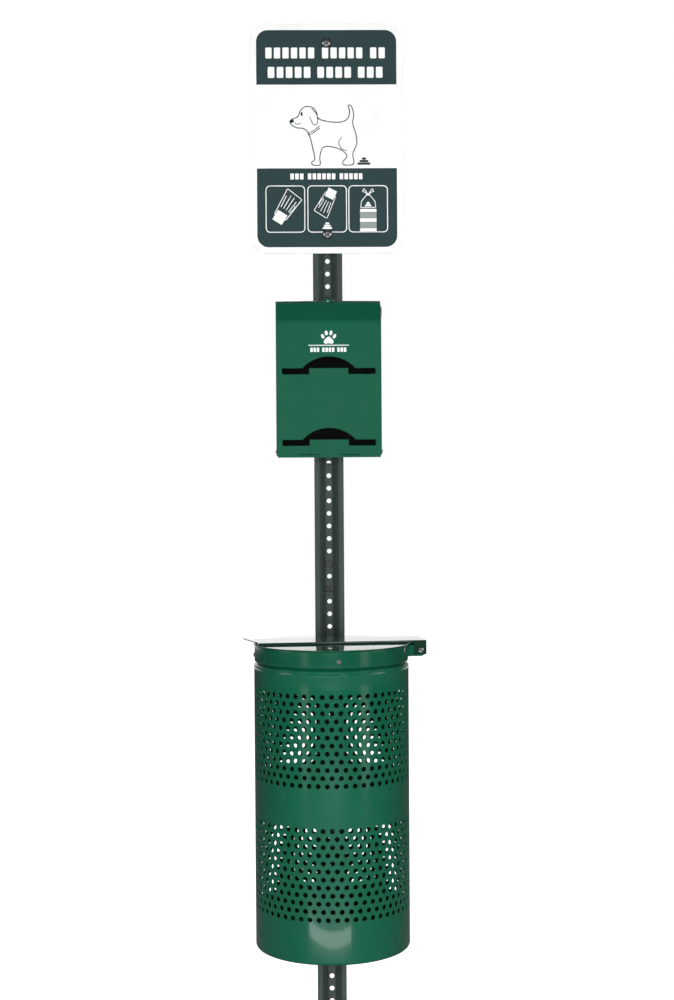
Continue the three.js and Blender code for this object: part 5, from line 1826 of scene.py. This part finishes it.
floor_mesh = bpy.data.meshes.new("studio_floor")
floor_corners = [(-FLOOR_HALF, -FLOOR_HALF), (FLOOR_HALF, -FLOOR_HALF), (FLOOR_HALF, FLOOR_HALF),
                 (-FLOOR_HALF, FLOOR_HALF)]
floor_mesh.from_pydata([(x, y, 0) for x, y in floor_corners], [], [(0, 1, 2, 3)])
floor_mesh.materials.append(floor_paper())
studio_floor = bpy.data.objects.new("studio_floor", floor_mesh)
bpy.context.scene.collection.objects.link(studio_floor)

# %% [markdown]
# The room's light comes from its direction alone: full behind the station, a
# twentieth in front, and a soft change between. The eye sees plain white all round.

# %% Room light
ROOM_BEHIND, ROOM_BEFORE = 1.0, 0.05


def light_room():
    world = bpy.data.worlds.new("studio")
    bpy.context.scene.world = world
    world.use_nodes = True
    nodes, link = world.node_tree.nodes, world.node_tree.links.new
    direction = nodes.new("ShaderNodeTexCoord").outputs["Generated"]
    split = nodes.new("ShaderNodeSeparateXYZ")
    link(direction, split.inputs["Vector"])
    spread = nodes.new("ShaderNodeMapRange")
    spread.interpolation_type = "SMOOTHSTEP"
    spread.inputs["From Min"].default_value = 0.5
    spread.inputs["From Max"].default_value = 0.85
    spread.inputs["To Min"].default_value = ROOM_BEFORE
    spread.inputs["To Max"].default_value = ROOM_BEHIND
    link(split.outputs["Y"], spread.inputs["Value"])
    seen = nodes.new("ShaderNodeLightPath").outputs["Is Camera Ray"]
    strength = nodes.new("ShaderNodeMath")
    strength.operation = "MAXIMUM"
    link(seen, strength.inputs[0])
    link(spread.outputs["Result"], strength.inputs[1])
    background = nodes["Background"]
    background.inputs["Color"].default_value = (1, 1, 1, 1)
    link(strength.outputs["Value"], background.inputs["Strength"])


light_room()


def soft_box(name, place, aim, width, height, watts):
    lamp = bpy.data.lights.new(name, "AREA")
    lamp.shape = "RECTANGLE"
    lamp.size, lamp.size_y = width, height
    lamp.energy = watts
    box = bpy.data.objects.new(name, lamp)
    box.location = place
    box.rotation_euler = (Vector(aim) - Vector(place)).to_track_quat("-Z", "Y").to_euler()
    bpy.context.scene.collection.objects.link(box)
    return box


STATION_MIDDLE = (0, 0, 1.0)
front_key = soft_box("front_key", (0.12, -4.2, 1.15), STATION_MIDDLE, 1.6, 1.6, 156)
top_fill = soft_box("top_fill", (0, 1.2, 4.2), STATION_MIDDLE, 1.6, 1.6, 40)
for lamp in (front_key, top_fill):
    lamp.visible_glossy = False
soft_box("left_fill", (-4.0, -1.4, 1.9), STATION_MIDDLE, 1.6, 1.6, 20)
soft_box("right_fill", (4.0, -1.4, 1.9), STATION_MIDDLE, 1.6, 1.6, 20)
soft_box("left_spark", (-0.9, -3.4, 3.3), STATION_MIDDLE, 0.4, 0.4, 5)
soft_box("right_spark", (1.0, -3.4, 3.3), STATION_MIDDLE, 0.4, 0.4, 5)
soft_box("left_strip", (-2.1, -2.7, 1.0), (0, 0, 0.9), 0.65, 2.0, 3.8)
soft_box("right_strip", (2.5, -2.4, 1.0), (0, 0, 0.9), 0.75, 2.0, 5.2)
soft_box("foot_window", (-0.12, -1.23, 0.046), (-0.12, 0, 0.27), 1.18, 0.08, 1.8)

# %% [markdown]
# The camera stands a little left of the middle at chest height, about three metres
# away, with a long lens and a slight lean. Its turns are applied as a matrix of
# right, up and backward directions, which keeps the lean exact.

# %% Camera
CAMERA_PLACE = (-0.045728, -3.291346, 1.195559)
CAMERA_YAW, CAMERA_PITCH, CAMERA_ROLL = 0.01885, 0.01551, -0.00653
CAMERA_LENS = 58.577

level = cos(CAMERA_PITCH)
ahead = Vector((sin(CAMERA_YAW) * level, cos(CAMERA_YAW) * level, -sin(CAMERA_PITCH)))
level_right = Vector((cos(CAMERA_YAW), -sin(CAMERA_YAW), 0))
level_up = level_right.cross(ahead)
right = cos(CAMERA_ROLL) * level_right + sin(CAMERA_ROLL) * level_up
up = cos(CAMERA_ROLL) * level_up - sin(CAMERA_ROLL) * level_right
lens = bpy.data.cameras.new("station_camera")
lens.sensor_fit = "VERTICAL"
lens.sensor_height = 36
lens.lens = CAMERA_LENS
camera = bpy.data.objects.new("station_camera", lens)
facing = Matrix((right, up, -ahead)).transposed().to_4x4()
camera.matrix_world = Matrix.Translation(CAMERA_PLACE) @ facing
bpy.context.scene.collection.objects.link(camera)
bpy.context.scene.camera = camera
bpy.context.scene.view_settings.view_transform = "Standard"
print("camera height, m:", round(CAMERA_PLACE[2], 2))
